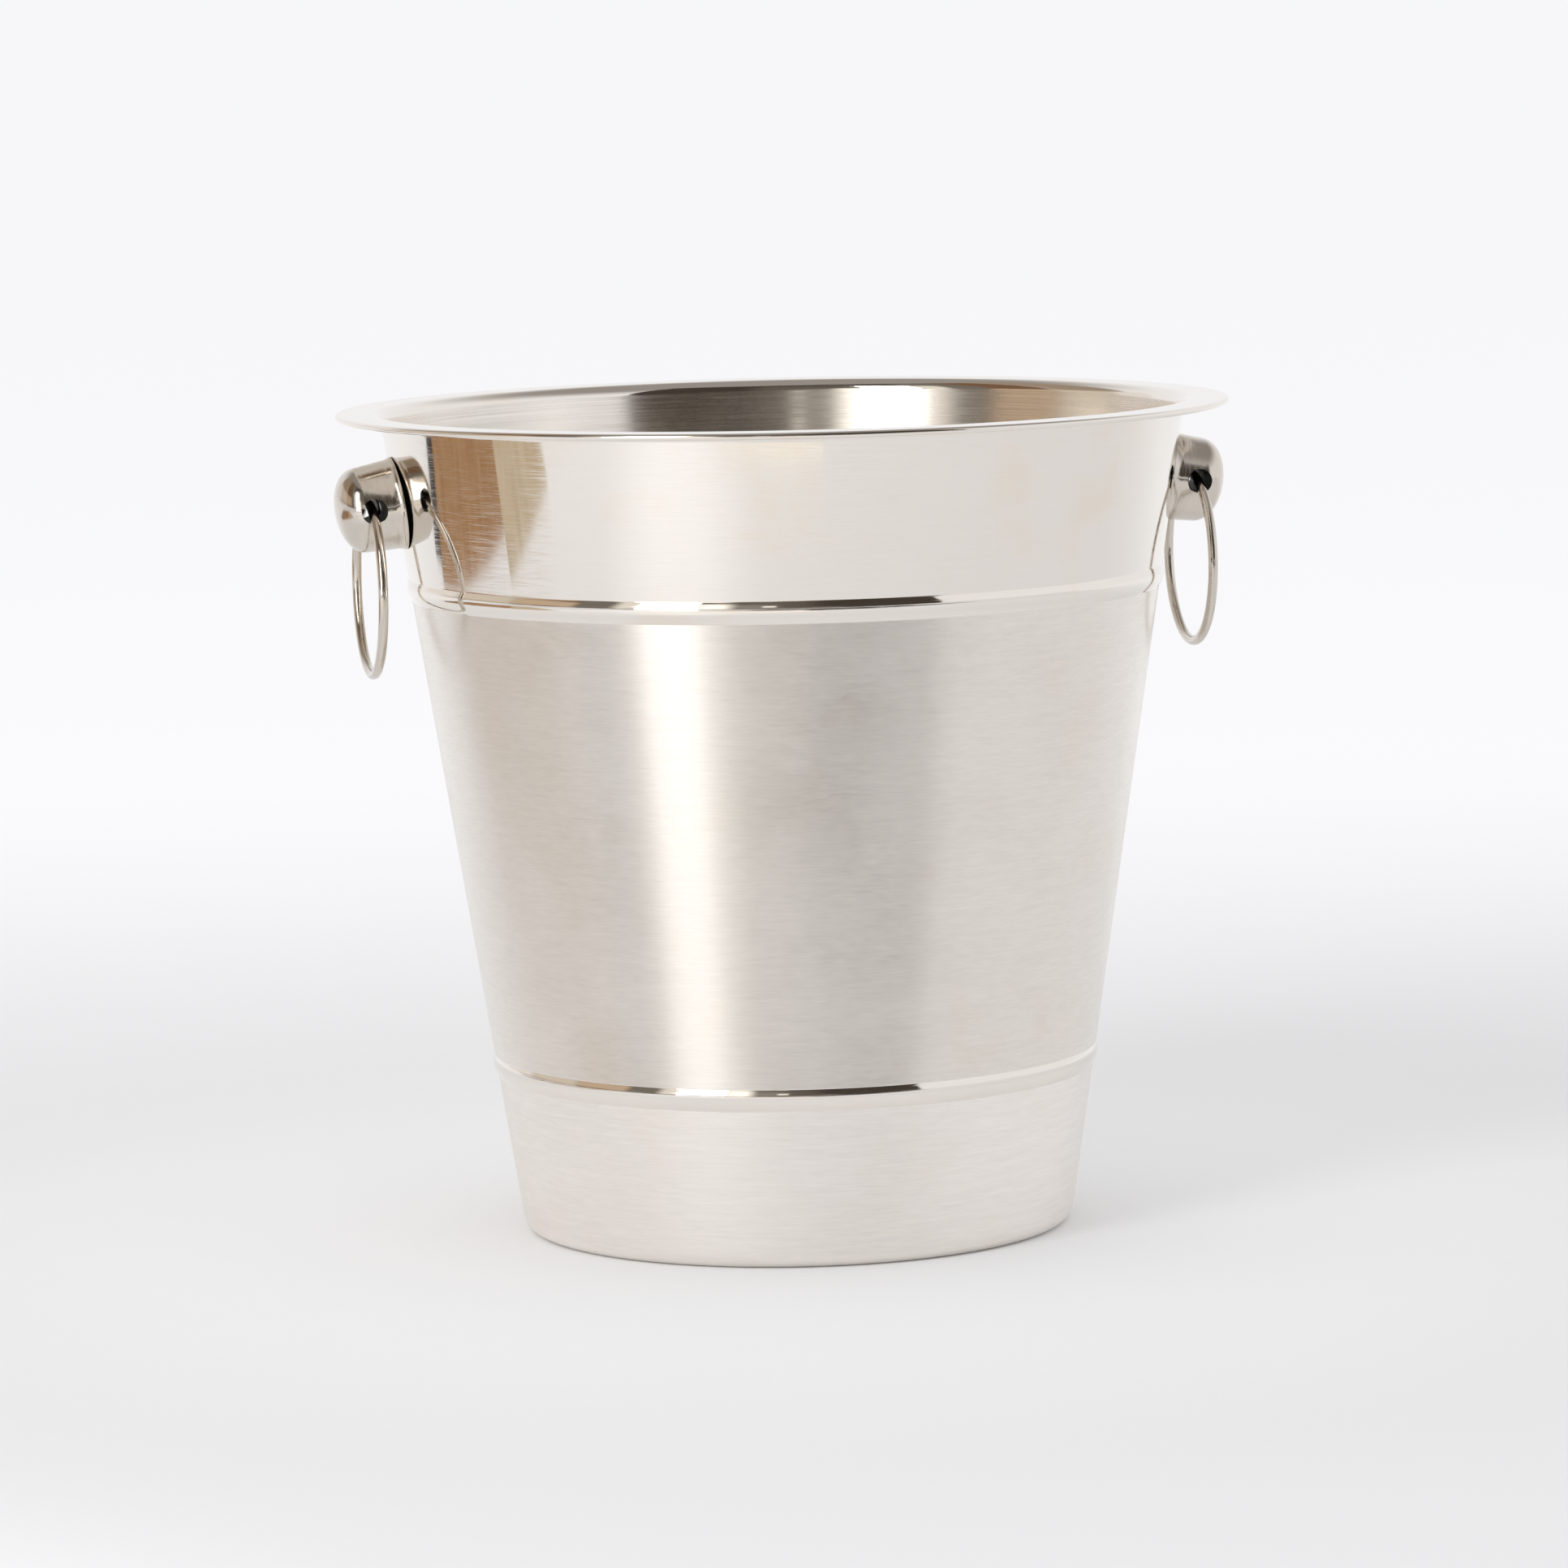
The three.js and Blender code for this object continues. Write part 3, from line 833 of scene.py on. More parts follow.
@dataclass
class Shell:
    """The spun shell: base, tapering wall with two beads, and flat rim with a hemmed edge."""

    height: float
    rim_radius: float
    sheet: float = 0.8 * MM
    foot_radius: float = 70.98 * MM  # outside of the wall, carried down to the standing face
    top_radius: float = 103.66 * MM  # the same, carried up to the rim's height
    corner_radius: float = 4.5 * MM
    fillet_radius: float = 2.5 * MM
    edge_thickness: float = 1.6 * MM
    hem_width: float = 2.6 * MM
    panel_radius: float = 53 * MM
    panel_rise: float = 1.5 * MM
    panel_ramp: float = 2 * MM
    bead_heights: tuple[float, float] = (43.9 * MM, 167.8 * MM)
    bead_width: float = 5.6 * MM
    bead_depth: float = 0.75 * MM
    crease_radius: float = 0.6 * MM  # hollow curve between wall and bead
    hole_radius: float = 2.8 * MM
    facets: int = 256
    arc_steps: int = 10

    @property
    def slope(self) -> float:
        """How much the wall's radius grows with height."""
        return (self.top_radius - self.foot_radius) / self.height

    @property
    def taper(self) -> float:
        """The wall's lean from the vertical, in radians."""
        return math.atan(self.slope)

    def wall_radius(self, height: float) -> float:
        """Outside radius of the straight wall at a height."""
        return self.foot_radius + self.slope * height

    def on_wall(self, height: float, along: float, out: float) -> Point:
        """A point near the wall, by its distance up along the wall and square out of it.

        Args:
            height: Height of the place on the wall that distances are counted from.
            along: Distance up along the wall.
            out: Distance square out of the wall.

        Returns:
            The point as (radius, height).
        """
        lean, rise = math.sin(self.taper), math.cos(self.taper)
        radius = self.wall_radius(height) + along * lean + out * rise
        return (radius, height + along * rise - out * lean)

    def bead(self, height: float, inset: float) -> list[Point]:
        """One bead's section, from its lower crease to its upper one.

        Args:
            height: Height of the bead's middle.
            inset: 0 for the outside of the sheet, or the sheet's thickness for the inside.

        Returns:
            The points.
        """
        crown = self.bead_width ** 2 / (8 * self.bead_depth) + self.bead_depth / 2
        crease = self.crease_radius
        sunk = crown - self.bead_depth  # depth of the crown's centre behind the wall's face
        apart = math.sqrt((crown + crease) ** 2 - (crease + sunk) ** 2)
        turn = math.atan2(crease + sunk, apart)  # direction from the crown's centre to a crease's
        steps = self.arc_steps
        lower = arc((-apart, crease), crease + inset, -QUARTER, -turn, steps // 2)
        middle = arc((0.0, -sunk), crown - inset, math.pi - turn, turn, steps)
        upper = arc((apart, crease), crease + inset, math.pi + turn, 3 * QUARTER, steps // 2)
        return [self.on_wall(height, along, out) for along, out in [*lower, *middle[1:-1], *upper]]

    def outline(self) -> Outline:
        """The shell's section: up the outside, over the rim and down the inside.

        Returns:
            The outline, with its zones.
        """
        steps = self.arc_steps
        outwards, inwards = -self.taper, math.pi - self.taper
        lean, rise = math.sin(self.taper), math.cos(self.taper)
        corner_foot = self.corner_radius * (1 - lean)
        corner = (self.wall_radius(corner_foot) - self.corner_radius * rise, self.corner_radius)
        fillet_height = self.height - self.sheet - self.fillet_radius
        fillet = (
            self.wall_radius(fillet_height + self.fillet_radius * lean) + self.fillet_radius * rise,
            fillet_height,
        )
        roll_radius = self.edge_thickness / 2
        roll = (self.rim_radius - roll_radius, self.height - roll_radius)
        hem = self.rim_radius - self.hem_width
        hem_corner = self.sheet / 4
        ramp_foot = self.panel_radius + self.panel_ramp
        low, high = self.bead_heights

        shape = Outline()
        shape.add([(0.0, self.panel_rise), (self.panel_radius, self.panel_rise), (ramp_foot, 0.0)],
                  Zone.BASE)
        shape.add(arc(corner, self.corner_radius, -QUARTER, outwards, steps), Zone.FOOT)
        shape.add(self.bead(low, 0.0), Zone.COLLAR)
        shape.zones[-1] = Zone.WALL
        shape.add(self.bead(high, 0.0), Zone.COLLAR)
        shape.add(arc(fillet, self.fillet_radius, inwards, QUARTER, steps), Zone.COLLAR)
        shape.add([
            (hem, self.height - self.sheet),
            (hem, self.height - self.edge_thickness + hem_corner),
            (hem + hem_corner, self.height - self.edge_thickness),
        ], Zone.COLLAR)
        shape.add(arc(roll, roll_radius, -QUARTER, QUARTER, steps), Zone.COLLAR)
        shape.add(arc(fillet, self.fillet_radius + self.sheet, QUARTER, inwards, steps), Zone.COLLAR)
        shape.zones[-1] = Zone.INSIDE
        for height in (high, low):
            shape.add(self.bead(height, self.sheet)[::-1], Zone.INSIDE)
        shape.add(arc(corner, self.corner_radius - self.sheet, outwards, -QUARTER, steps), Zone.INSIDE)
        shape.add([
            (ramp_foot, self.sheet),
            (self.panel_radius, self.panel_rise + self.sheet),
            (0.0, self.panel_rise + self.sheet),
        ], Zone.INSIDE)
        return shape.refined(guard=0.3 * MM, longest=12 * MM)

    def build(self, handles: list["Handle"]) -> None:
        """Turns the shell, drills it for the handles' screws and hands it over.

        Args:
            handles: The handles that are screwed to it.
        """
        by_zone = {
            Zone.BASE: BASE_FINISH,
            Zone.FOOT: FOOT_FINISH,
            Zone.WALL: WALL_FINISH,
            Zone.COLLAR: COLLAR_FINISH,
            Zone.INSIDE: INSIDE_FINISH,
        }
        finishes = [by_zone[zone].build() for zone in Zone]
        blank = turned("shell", self.outline(), self.facets, finishes)
        drills = [handle.wall_drill(self.hole_radius, finishes[Zone.INSIDE]) for handle in handles]
        ride(cut(blank, drills), "bucket", "brushed_shell", "bucket_shell")


@dataclass
class Handle:
    """One handle: knob, seal, screw and washer fixed on the wall, and the ring that hangs.

    Distances along the knob's axis are counted from the outside of the wall.
    """

    side: Side
    shell: Shell
    height: float = 191 * MM  # where the knob's axis leaves the wall
    gap: float = 0.3 * MM  # left between fixed pieces that touch on the real handle
    reach: float = 16.4 * MM  # wall to the crown of the knob
    lip_gap: float = 0.1 * MM  # left between the knob's lip and the wall
    lip_radius: float = 12 * MM
    lip_thickness: float = 0.6 * MM
    lip_rounding: float = 0.15 * MM
    neck_radius: float = 11.4 * MM
    neck_length: float = 3 * MM
    shoulder_radius: float = 10.95 * MM
    shoulder_reach: float = 9.4 * MM
    fullness: float = 2.2  # of the curve of knob and screw head: 2 is an ellipse, more is squarer
    bore_reach: float = 8.1 * MM
    bore_radius: float = 3.1 * MM
    mouth_start: float = 10.5 * MM
    mouth_rounding: float = 0.4 * MM
    seal_radius: float = 10.5 * MM
    seal_thickness: float = 0.8 * MM
    tapped_radius: float = 2.5 * MM
    shank_radius: float = 2.2 * MM
    tip_reach: float = 4.8 * MM
    tip_chamfer: float = 0.5 * MM
    head_radius: float = 4.75 * MM
    head_height: float = 2.6 * MM
    head_edge: float = 1.1 * MM
    recess_length: float = 4.6 * MM
    recess_width: float = 0.9 * MM
    recess_depth: float = 1.5 * MM
    recess_narrowing: float = 0.45  # how much of its length a slot loses down to its bottom
    washer_radius: float = 6 * MM
    washer_thickness: float = 1 * MM
    knob_facets: int = 128
    small_facets: int = 64
    hoop_facets: int = 192
    wire_facets: int = 32
    neck_steps: int = 6
    dome_steps: int = 28

    @property
    def place(self) -> Matrix:
        """The knob's axis on the wall: +Z points square out of it and +X down along it.

        Returns:
            The place, as a turn and a move from the world's axes.
        """
        lean = Matrix.Rotation(QUARTER + self.shell.taper, 4, "Y")
        stand = Matrix.Translation((self.shell.wall_radius(self.height), 0.0, self.height))
        turn = Matrix.Rotation(0.0 if self.side is Side.RIGHT else math.pi, 4, "Z")
        return turn @ stand @ lean

    @property
    def pocket_floor(self) -> float:
        """Wall to the bottom of the seal's pocket in the knob's back."""
        return 2 * self.gap + self.seal_thickness

    @property
    def washer_face(self) -> float:
        """Wall to the side of the washer that faces it, which clears the wall's curve."""
        curve = self.washer_radius ** 2 / (2 * self.shell.wall_radius(self.height))
        return -(self.shell.sheet + curve + self.gap)

    def fixed(self, piece: bpy.types.Object, slot: str, node: str) -> None:
        """Moves a piece to its place on the wall and hands it over.

        Args:
            piece: The piece, still about its own Z axis.
            slot: The record's material slot.
            node: The CAD node's name without its side.
        """
        piece.data.transform(self.place)
        ride(piece, "bucket", slot, f"{self.side.word}_{node}")

    def wall_drill(self, radius: float, finish: bpy.types.Material) -> bpy.types.Object:
        """Makes the drill that opens the wall for the screw.

        Args:
            radius: The drill's radius.
            finish: The finish of what it cuts.

        Returns:
            The drill, in place.
        """
        outline = Outline()
        outline.add([
            (0.0, -self.reach), (radius, -self.reach), (radius, self.reach), (0.0, self.reach),
        ])
        drill = turned("drill", outline, self.small_facets, [finish])
        drill.data.transform(self.place)
        return drill

    def knob_outline(self) -> Outline:
        """The knob's section: the seal's pocket, lip, hollow neck, tapering side and dome.

        Returns:
            The outline.
        """
        back = self.lip_gap
        pocket_radius = self.seal_radius + self.gap
        lip_top = back + self.lip_thickness
        neck_end = back + self.neck_length
        edge = self.lip_rounding
        angles = [QUARTER * i / self.neck_steps for i in range(1, self.neck_steps + 1)]
        neck = [
            (self.lip_radius - (self.lip_radius - self.neck_radius) * math.sin(angle),
             neck_end - (neck_end - lip_top) * math.cos(angle))
            for angle in angles
        ]
        outline = Outline()
        outline.add([
            (0.0, self.pocket_floor), (pocket_radius, self.pocket_floor), (pocket_radius, back),
        ])
        outline.add(arc((self.lip_radius - edge, back + edge), edge, -QUARTER, 0.0, steps=3))
        outline.add(arc((self.lip_radius - edge, lip_top - edge), edge, 0.0, QUARTER / 2, steps=2))
        outline.add(neck)
        outline.add(dome(self.shoulder_radius, self.shoulder_reach,
                         self.reach - self.shoulder_reach, self.fullness, self.dome_steps))
        return outline.refined(guard=0.15 * MM, longest=1 * MM)

    def bore_tool(self, finish: bpy.types.Material) -> bpy.types.Object:
        """Makes the tool for the ring's bore: straight along Y, with mouths that flare.

        Args:
            finish: The finish of the bore.

        Returns:
            The tool, about the knob's own axis.
        """
        flare = self.mouth_rounding
        end = self.lip_radius + flare
        middle = self.bore_radius + flare
        steps = 8
        outline = Outline()
        outline.add([(0.0, -end), (middle, -end)])
        outline.add(arc((middle, -self.mouth_start), flare, math.pi + QUARTER, math.pi, steps))
        outline.add(arc((middle, self.mouth_start), flare, math.pi, QUARTER, steps))
        outline.add([(middle, end), (0.0, end)])
        fine = outline.refined(guard=0.3 * MM, longest=2 * MM)
        tool = turned("bore_tool", fine, self.small_facets, [finish])
        lift = Matrix.Translation((0, 0, self.bore_reach))
        tool.data.transform(lift @ Matrix.Rotation(QUARTER, 4, "X"))
        return tool

    def build_knob(self) -> None:
        """Turns the knob, bores it for the ring and taps its back."""
        word = self.side.word
        finish = KNOB_FINISH.about(self.place, word).build()
        # the bore and the tapped hole take a finish with painted shade
        bore_metal_painted_shade = PAINTED_SHADE_BORE_FINISH.about(self.place @ Matrix.Rotation(QUARTER, 4, "X"), word).build()
        blank = turned("knob_" + word, self.knob_outline(), self.knob_facets, [finish])
        depth = self.bore_reach - self.pocket_floor
        outline = Outline()
        outline.add([
            (0.0, self.pocket_floor - depth), (self.tapped_radius, self.pocket_floor - depth),
            (self.tapped_radius, self.bore_reach), (0.0, self.bore_reach),
        ])
        tap = turned("tap", outline, self.small_facets, [bore_metal_painted_shade])
        self.fixed(cut(blank, [self.bore_tool(bore_metal_painted_shade), tap]), "polished_nickel", "knob")

    def flat_ring(self, name: str, start: float, thickness: float, outer: float,
                  finish: bpy.types.Material) -> bpy.types.Object:
        """Makes a washer about the knob's axis, with eased edges.

        Args:
            name: The piece's name.
            start: Wall to its near face.
            thickness: Its thickness.
            outer: Its outer radius.
            finish: Its material.

        Returns:
            The washer.
        """
        ease = thickness / 5  # how far its edges are rounded or bevelled
        inner = self.shell.hole_radius
        end = start + thickness
        outline = Outline()
        outline.add([(inner, start + ease), (inner + ease, start)])
        outline.add(arc((outer - ease, start + ease), ease, -QUARTER, 0.0, steps=4))
        outline.add(arc((outer - ease, end - ease), ease, 0.0, QUARTER, steps=4))
        outline.add([(inner + ease, end), (inner, end - ease), (inner, start + ease)])
        washer = turned(name, outline, self.small_facets, [finish])
        crisp(washer)
        return washer

    def build_fixing(self) -> None:
        """Makes the seal outside the wall, and the washer and the screw inside it."""
        word = self.side.word
        seal = self.flat_ring(
            "seal_" + word, self.gap, self.seal_thickness, self.seal_radius, SealRubber().build())
        self.fixed(seal, "seal_rubber", "seal_washer")

        steel = FASTENER_FINISH.about(self.place, word).build()
        back = self.washer_face - self.washer_thickness
        washer = self.flat_ring(
            "washer_" + word, back, self.washer_thickness, self.washer_radius, steel)
        self.fixed(washer, "fastener_steel", "washer")

        seat = back - self.gap
        edge = seat - self.head_edge
        crown = dome(self.head_radius, edge, self.head_edge - self.head_height, self.fullness,
                     steps=12)
        outline = Outline()
        outline.add(crown[::-1])
        outline.add([
            (self.head_radius, seat),
            (self.shank_radius, seat),
            (self.shank_radius, self.tip_reach - self.tip_chamfer),
            (self.shank_radius - self.tip_chamfer, self.tip_reach),
            (0.0, self.tip_reach),
        ])
        blank = turned("screw_" + word, outline, self.small_facets, [steel])
        slots = [self.recess_slot(seat - self.head_height, turn, steel) for turn in (0.0, QUARTER)]
        self.fixed(cut(blank, slots), "fastener_steel", "screw")

    def recess_slot(self, top: float, turn: float, finish: bpy.types.Material) -> bpy.types.Object:
        """Makes the tool for one slot of the screw's cross recess, narrower at its bottom.

        Args:
            top: Height of the head's crown.
            turn: The slot's turn about the screw.
            finish: The finish of what it cuts.

        Returns:
            The tool.
        """
        length, width = self.recess_length / 2, self.recess_width / 2
        corner_points = [
            (side * length * (1 - level * self.recess_narrowing), edge * width,
             top + level * self.recess_depth)
            for level in (-1, 1)
            for side, edge in ((-1, -1), (1, -1), (1, 1), (-1, 1))
        ]
        faces = [(3, 2, 1, 0), (4, 5, 6, 7), (0, 1, 5, 4), (1, 2, 6, 5), (2, 3, 7, 6), (3, 0, 4, 7)]
        mesh = bpy.data.meshes.new("recess_slot")
        mesh.from_pydata(corner_points, [], faces)
        mesh.materials.append(finish)
        mesh.transform(Matrix.Rotation(turn, 4, "Z"))
        return new_object("recess_slot", mesh)

    def build_ring(self) -> None:
        """Bends the ring, which hangs straight down from its bore."""
        node = f"{self.side.word}_ring"
        low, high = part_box(node)
        middle = (low + high) / 2
        wire = (high.x - low.x) / 2
        stand = Matrix.Translation(middle) @ Matrix.Rotation(QUARTER, 4, "Y")
        seed = bpy.data.meshes.new("hoop_seed")
        values = {
            "Hoop radius": (high.z - low.z) / 2 - wire,
            "Wire radius": wire,
            "Hoop facets": self.hoop_facets,
            "Wire facets": self.wire_facets,
            "Finish": RING_FINISH.about(stand, self.side.word).build(),
        }
        tree = bpy.data.node_groups.get("hoop") or hoop_tree()
        ring = grown("ring_" + self.side.word, seed, tree, values)
        ring.data.transform(stand)
        ride(ring, node, "polished_nickel", node)

    def build(self) -> None:
        """Makes all pieces of the handle."""
        self.build_knob()
        self.build_fixing()
        self.build_ring()


# ---------------------------------------------------------------------------
# The studio
# ---------------------------------------------------------------------------


@dataclass(frozen=True)
class Patch:
    """A plain area of the room round the studio, by the directions in which it lies.

    Azimuths are counted from the direction of the camera, positive to the camera's right.
    """

    start: float  # degrees
    end: float
    low: float  # degrees above the horizon
    high: float
    colour: Colour
    edge: float  # softness of its outline, in degrees

    def mask(self, nodes: Nodes, around: bpy.types.NodeSocket,
             above: bpy.types.NodeSocket) -> bpy.types.NodeSocket:
        """Adds the patch's outline to a tree.

        Args:
            nodes: The tree's builder.
            around: The azimuth looked at, in degrees.
            above: The height above the horizon, in degrees.

        Returns:
            The mask: 1 inside the patch and 0 outside it.
        """
        soft = self.edge / 2
        return nodes.chain(
            "MULTIPLY",
            nodes.ramp(around, self.start - soft, self.start + soft, smooth=True),
            nodes.ramp(around, self.end - soft, self.end + soft, 1.0, 0.0, smooth=True),
            nodes.ramp(above, self.low - soft, self.low + soft, smooth=True),
            nodes.ramp(above, self.high - soft, self.high + soft, 1.0, 0.0, smooth=True),
        )


@dataclass(frozen=True)
class Board:
    """A board lying on the floor out of sight, glowing with painted light though it is no lamp, which
    only shows mirrored in the metal.

    Places are in the camera's frame: x to its right, y away from it.
    """

    name: str
    left: float
    right: float
    near: float
    far: float
    colour: Colour
    grain: Colour
    height: float = 1 * MM  # above the floor
    stretch: tuple[float, float, float] = (2.0, 9.0, 1.0)  # draws the grain out along X

    def build(self, turn: Matrix) -> None:
        """Lays the board.

        Args:
            turn: The turn from the camera's frame to the bucket's.
        """
        mesh = flat_mesh(self.name, (self.left, self.near), (self.right, self.far), self.height)
        mesh.transform(turn)
        board = new_object(self.name, mesh)
        material, nodes = new_material(self.name)
        place = nodes.add("ShaderNodeTexCoord").outputs["Object"]
        drawn = nodes.add("ShaderNodeMapping", {"Vector": place, "Scale": self.stretch}).outputs[0]
        figure = nodes.add("ShaderNodeTexNoise", {"Vector": drawn, "Detail": 3.0}).outputs["Fac"]
        colour = nodes.blend(nodes.ramp(figure, *NOISE_SPAN), self.colour, self.grain)
        # painted light: the board glows in the colour that a lit board would show
        glow = nodes.add("ShaderNodeEmission", {"Color": colour})
        nodes.add("ShaderNodeOutputMaterial", {"Surface": glow.outputs[0]})
        mesh.materials.append(material)
        board.visible_camera = False
        board.visible_diffuse = False
        board.visible_shadow = False


@dataclass(frozen=True)
class Fade:
    """A soft change of the floor's painted light and shade over a distance."""

    start: float  # distance at which it starts
    end: float
    first: float  # painted shade up to the start
    last: float

    def build(self, nodes: Nodes, distance: bpy.types.NodeSocket) -> bpy.types.NodeSocket:
        """Adds the change to a tree, over a distance, and returns the painted shade."""
        return nodes.ramp(distance, self.start, self.end, self.first, self.last, smooth=True)


@dataclass
class Studio:
    """A pale floor in even white light, with painted light and shade in its colour, a window in front,
    and a room mirrored in the metal.
    """

    azimuth: float = math.radians(-12.0)  # of the camera, about the bucket
    distance: float = 1.8348
    height: float = 0.3271
    pitch: float = math.radians(6.612)
    yaw: float = math.radians(-0.047)
    roll: float = math.radians(-1.2226)
    lens: float = 163.81  # millimetres
    sensor: float = 36.0  # width, in millimetres
    floor_reach: float = 120.0
    floor_far: Fade = Fade(0.1, 1.1, 0.80, 0.97)  # painted light: the floor is brighter in the distance
    floor_near: Fade = Fade(0.08, 0.32, 0.12, 0.0)  # painted light that makes up for the bucket's shade
    # painted light: a little brighter further from the bucket
    painted_light_around: Fade = Fade(0.35, 0.75, 0.0, 0.03)
    painted_light_pool: Fade = Fade(0.04, 0.26, 0.16, 0.0)  # a painted pool of window light on the floor
    painted_pool_place: tuple[float, float, float] = (-0.29, -0.51, 0.0)  # middle of the painted pool, in the camera's frame
    fill: Colour = (0.93, 0.93, 0.945)  # even light on the floor
    walls: Colour = (0.92, 0.915, 0.925)  # the white surroundings as the metal mirrors them
    ceiling: Colour = (0.34, 0.32, 0.30)
    ceiling_edge: Span = (20.0, 55.0)  # degrees above the horizon where walls turn into ceiling
    window_azimuth: float = math.radians(-35.3)
    window_distance: float = 1.6
    window_width: float = 0.53
    window_low: float = 0.1
    window_high: float = 1.75
    window_radiance: float = 3.4
    patches: tuple[Patch, ...] = (
        # the dark room in front, its dim left end, and what is lighter in its middle
        Patch(-74.0, 47.5, -8.0, 60.0, (0.06, 0.05, 0.04), 1.5),
        Patch(-74.0, -46.0, -8.0, 60.0, (0.19, 0.17, 0.145), 6.0),
        Patch(-26.0, 16.0, -8.0, 6.0, (0.22, 0.20, 0.18), 10.0),
        Patch(-26.0, 8.0, 6.0, 50.0, (0.13, 0.115, 0.095), 12.0),
        Patch(-26.0, -5.0, 2.0, 22.0, (0.28, 0.255, 0.225), 12.0),
        # bright strips on each side of the window, and a small one apart from it
        Patch(-27.0, -17.0, 2.0, 24.0, (1.4, 1.35, 1.25), 6.0),
        Patch(-53.0, -44.0, 2.0, 40.0, (0.85, 0.80, 0.72), 5.0),
        Patch(-7.0, -3.0, 8.0, 16.0, (1.0, 0.95, 0.85), 1.5),
        # brown and beige walls on the left, each with a lighter stretch, and a pale one beyond
        Patch(-92.0, -67.0, -8.0, 60.0, (0.20, 0.115, 0.065), 4.0),
        Patch(-92.0, -67.0, 3.0, 20.0, (0.58, 0.44, 0.31), 4.0),
        Patch(-128.0, -92.0, -8.0, 60.0, (0.36, 0.29, 0.22), 8.0),
        Patch(-118.0, -92.0, 2.0, 20.0, (0.68, 0.60, 0.50), 8.0),
        Patch(-140.0, -118.0, 1.0, 20.0, (0.85, 0.80, 0.77), 8.0),
    )
    # boards glowing with painted light, seen only mirrored in the metal: what lies on the floor round
    # the studio, lit or dark
    boards: tuple[Board, ...] = (
        Board("black_board", -1.6, -0.74, 0.46, 0.53, (0.04, 0.04, 0.045), (0.08, 0.075, 0.07)),
        Board("wooden_board", -1.6, -0.70, -0.04, 0.46, (0.32, 0.18, 0.09), (0.44, 0.27, 0.15)),
        Board("pale_board", -1.6, -0.645, -0.26, -0.04, (0.62, 0.52, 0.38), (0.50, 0.40, 0.28)),
        Board("lit_board", -0.42, 0.12, -1.5, -0.62, (1.10, 1.05, 0.97), (1.00, 0.95, 0.88)),
        Board("grey_board", -0.55, 0.12, -6.0, -1.5, (0.12, 0.11, 0.10), (0.16, 0.145, 0.13)),
        Board("dark_board", 0.12, 1.6, -6.0, -0.95, (0.10, 0.09, 0.08), (0.14, 0.125, 0.11)),
    )

    @property
    def turn(self) -> Matrix:
        """The turn from the camera's frame to the bucket's."""
        return Matrix.Rotation(self.azimuth, 4, "Z")

    def camera(self) -> None:
        """Sets up the camera."""
        forward = self.turn @ Vector((
            math.sin(self.yaw) * math.cos(self.pitch),
            math.cos(self.yaw) * math.cos(self.pitch),
            -math.sin(self.pitch),
        ))
        level = forward.cross(Vector((0, 0, 1))).normalized()
        upright = level.cross(forward)
        right = level * math.cos(self.roll) + upright * math.sin(self.roll)
        above = right.cross(forward)
        data = bpy.data.cameras.new("camera")
        data.sensor_width = self.sensor
        data.lens = self.lens
        camera = new_object("camera", data)
        place = self.turn @ Vector((0.0, -self.distance, self.height))
        camera.matrix_world = Matrix.LocRotScale(
            place, Matrix((right, above, -forward)).transposed(), None)
        bpy.context.scene.camera = camera

    def floor(self) -> None:
        """Lays a wide pale floor, with soft changes of painted light and shade in its colour."""
        reach = self.floor_reach
        mesh = flat_mesh("floor", (-reach, -reach), (reach, reach))
        floor = new_object("floor", mesh)
        material, nodes = new_material("pale_floor_painted_light")
        place = nodes.add("ShaderNodeTexCoord").outputs["Object"]
        away = nodes.add("ShaderNodeVectorMath", {0: place}, operation="LENGTH").outputs["Value"]
        from_painted_pool = nodes.add("ShaderNodeVectorMath", {
            0: place, 1: self.turn @ Vector(self.painted_pool_place),
        }, operation="DISTANCE").outputs["Value"]
        behind = nodes.add("ShaderNodeVectorMath", {
            0: place, 1: self.turn @ Vector((0.0, 1.0, 0.0)),
        }, operation="DOT_PRODUCT").outputs["Value"]
        # the floor's colour: painted light and shade, added up from the four fades
        shade = nodes.chain(
            "ADD",
            self.floor_near.build(nodes, away),
            self.painted_light_around.build(nodes, away),
            self.painted_light_pool.build(nodes, from_painted_pool),
            self.floor_far.build(nodes, behind),
        )
        grey = nodes.add("ShaderNodeCombineColor", {"Red": shade, "Green": shade, "Blue": shade})
        shader = nodes.add("ShaderNodeBsdfPrincipled", {
            "Base Color": grey.outputs[0],
            "Roughness": 0.7,
            "Specular IOR Level": 0.0,
        })
        nodes.add("ShaderNodeOutputMaterial", {"Surface": shader.outputs[0]})
        mesh.materials.append(material)

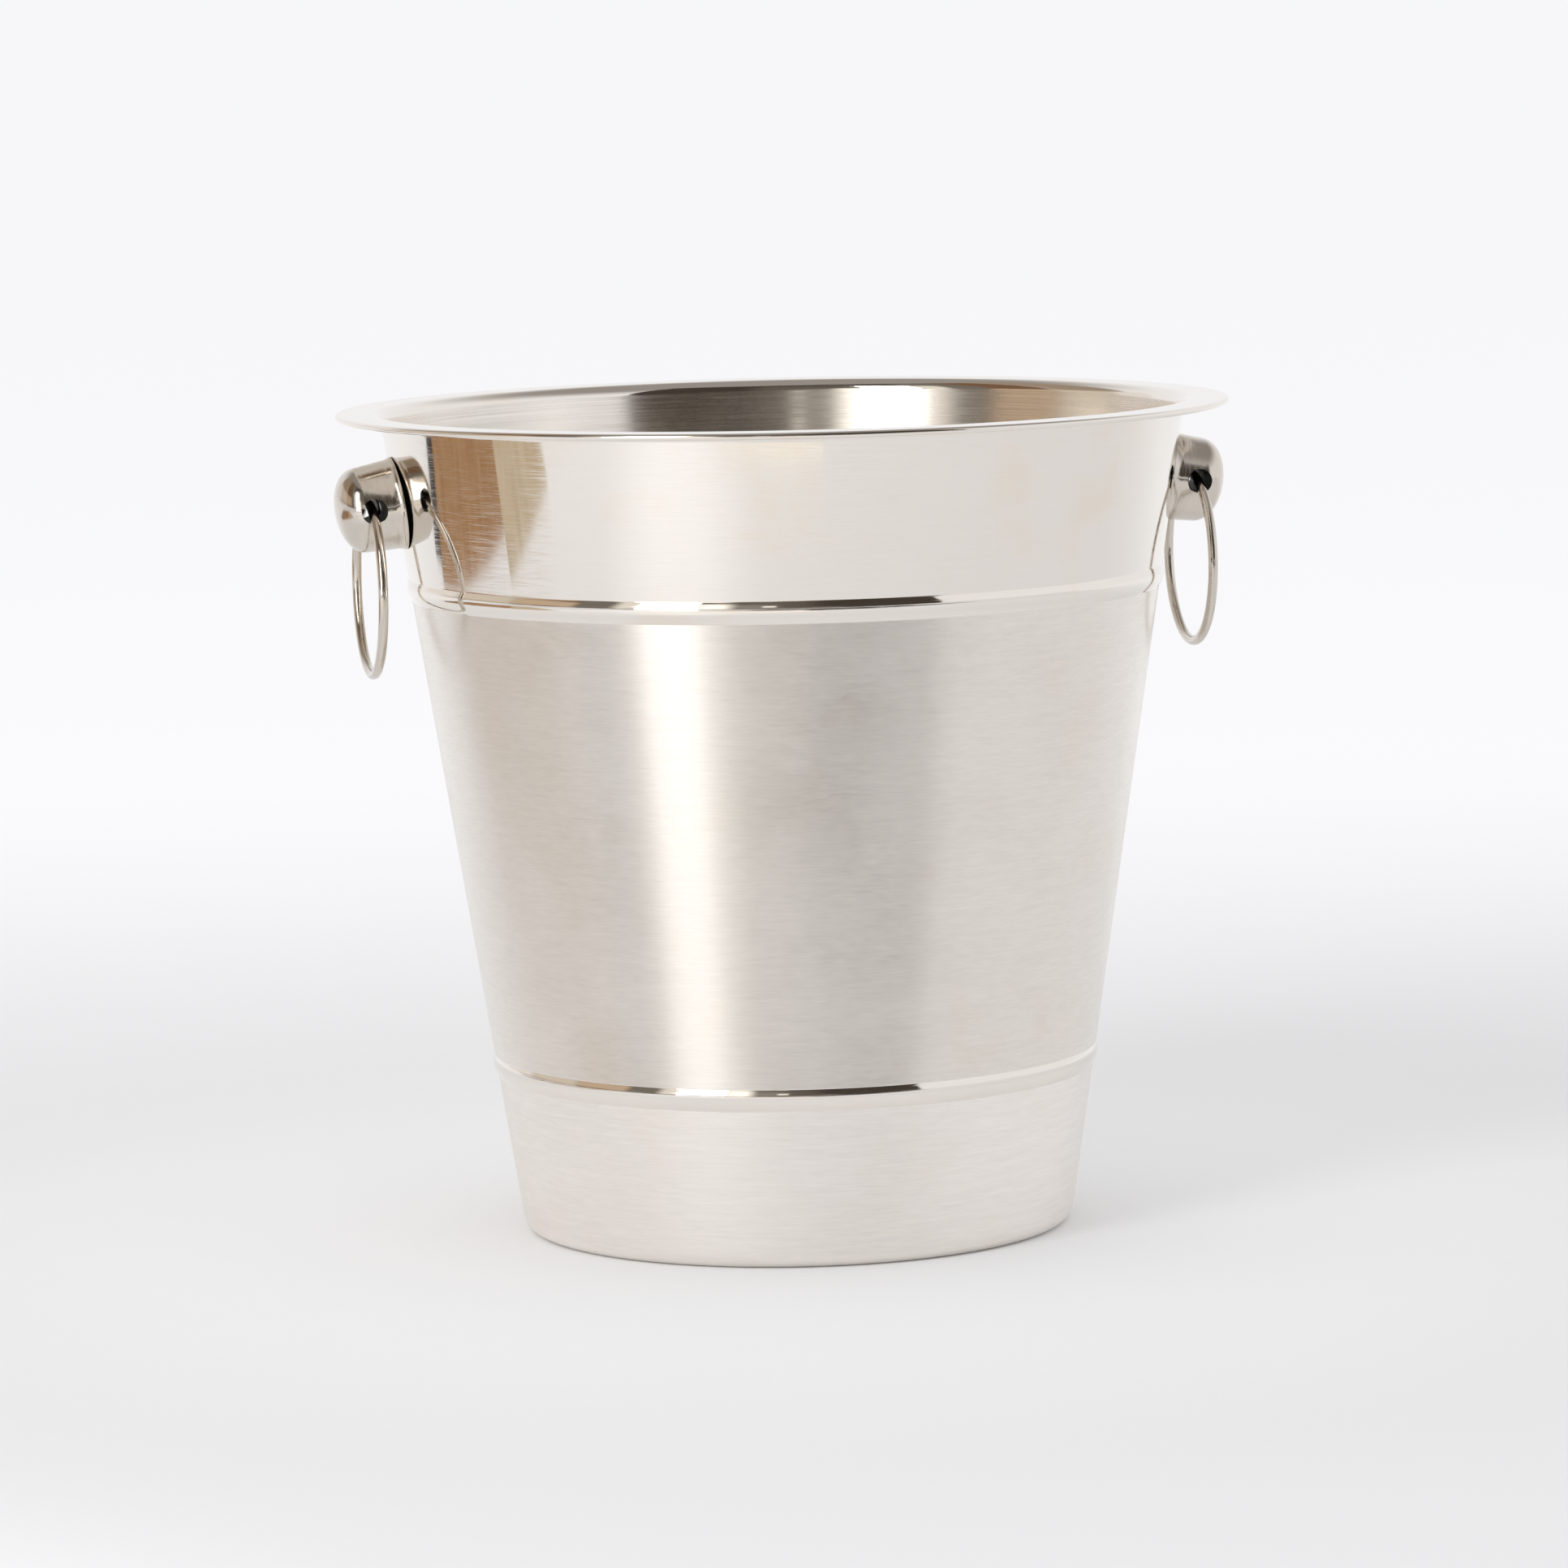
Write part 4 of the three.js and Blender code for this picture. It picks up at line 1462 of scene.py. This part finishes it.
    def window(self) -> None:
        """Sets up the window, an upright area light that faces the bucket."""
        tall = self.window_high - self.window_low
        light = bpy.data.lights.new("window", "AREA")
        light.shape = "RECTANGLE"
        light.size = self.window_width
        light.size_y = tall
        light.energy = self.window_radiance * math.pi * self.window_width * tall
        lamp = new_object("window", light)
        lamp.matrix_world = (
            Matrix.Rotation(self.azimuth + self.window_azimuth, 4, "Z")
            @ Matrix.Translation((0.0, -self.window_distance, self.window_low + tall / 2))
            @ Matrix.Rotation(QUARTER, 4, "X")
        )
        lamp.visible_camera = False

    def room(self) -> None:
        """Surrounds the scene with even light, and with the room for what is mirrored."""
        world = bpy.data.worlds.new("studio")
        world.use_nodes = True
        world.cycles.sampling_method = "NONE"
        bpy.context.scene.world = world
        nodes = Nodes(world.node_tree)
        towards = nodes.add("ShaderNodeTexCoord").outputs["Generated"]
        turned_back = nodes.add("ShaderNodeVectorRotate", {
            "Vector": towards, "Angle": -self.azimuth,
        }, rotation_type="Z_AXIS").outputs[0]
        x, y, z = nodes.add("ShaderNodeSeparateXYZ", {0: turned_back}).outputs
        around = nodes.math("DEGREES", nodes.math("ARCTAN2", x, nodes.math("MULTIPLY", y, -1.0)))
        above = nodes.math("DEGREES", nodes.math("ARCSINE", z))
        upwards = nodes.ramp(above, *self.ceiling_edge, smooth=True)
        mirrored = nodes.blend(upwards, self.walls, self.ceiling)
        for patch in self.patches:
            mirrored = nodes.blend(patch.mask(nodes, around, above), mirrored, patch.colour)
        glossy = nodes.add("ShaderNodeLightPath").outputs["Is Glossy Ray"]
        colour = nodes.blend(glossy, self.fill, mirrored)
        background = nodes.add("ShaderNodeBackground", {"Color": colour, "Strength": 1.0})
        nodes.add("ShaderNodeOutputWorld", {"Surface": background.outputs[0]})

    def build(self) -> None:
        """Sets up camera, floor and light, with colours shown as they are."""
        self.camera()
        self.floor()
        self.window()
        self.room()
        for board in self.boards:
            board.build(self.turn)
        bpy.context.scene.view_settings.view_transform = "Standard"
        bpy.context.scene.view_settings.look = "None"


def main() -> None:
    """Builds the bucket and its studio."""
    logging.basicConfig(level=logging.INFO, format="%(message)s")
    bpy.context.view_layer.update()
    _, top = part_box("bucket_shell")
    Studio().build()
    shell = Shell(height=top.z, rim_radius=top.x)
    handles = [Handle(side, shell) for side in Side]
    shell.build(handles)
    for handle in handles:
        handle.build()


if __name__ == "__main__":
    main()
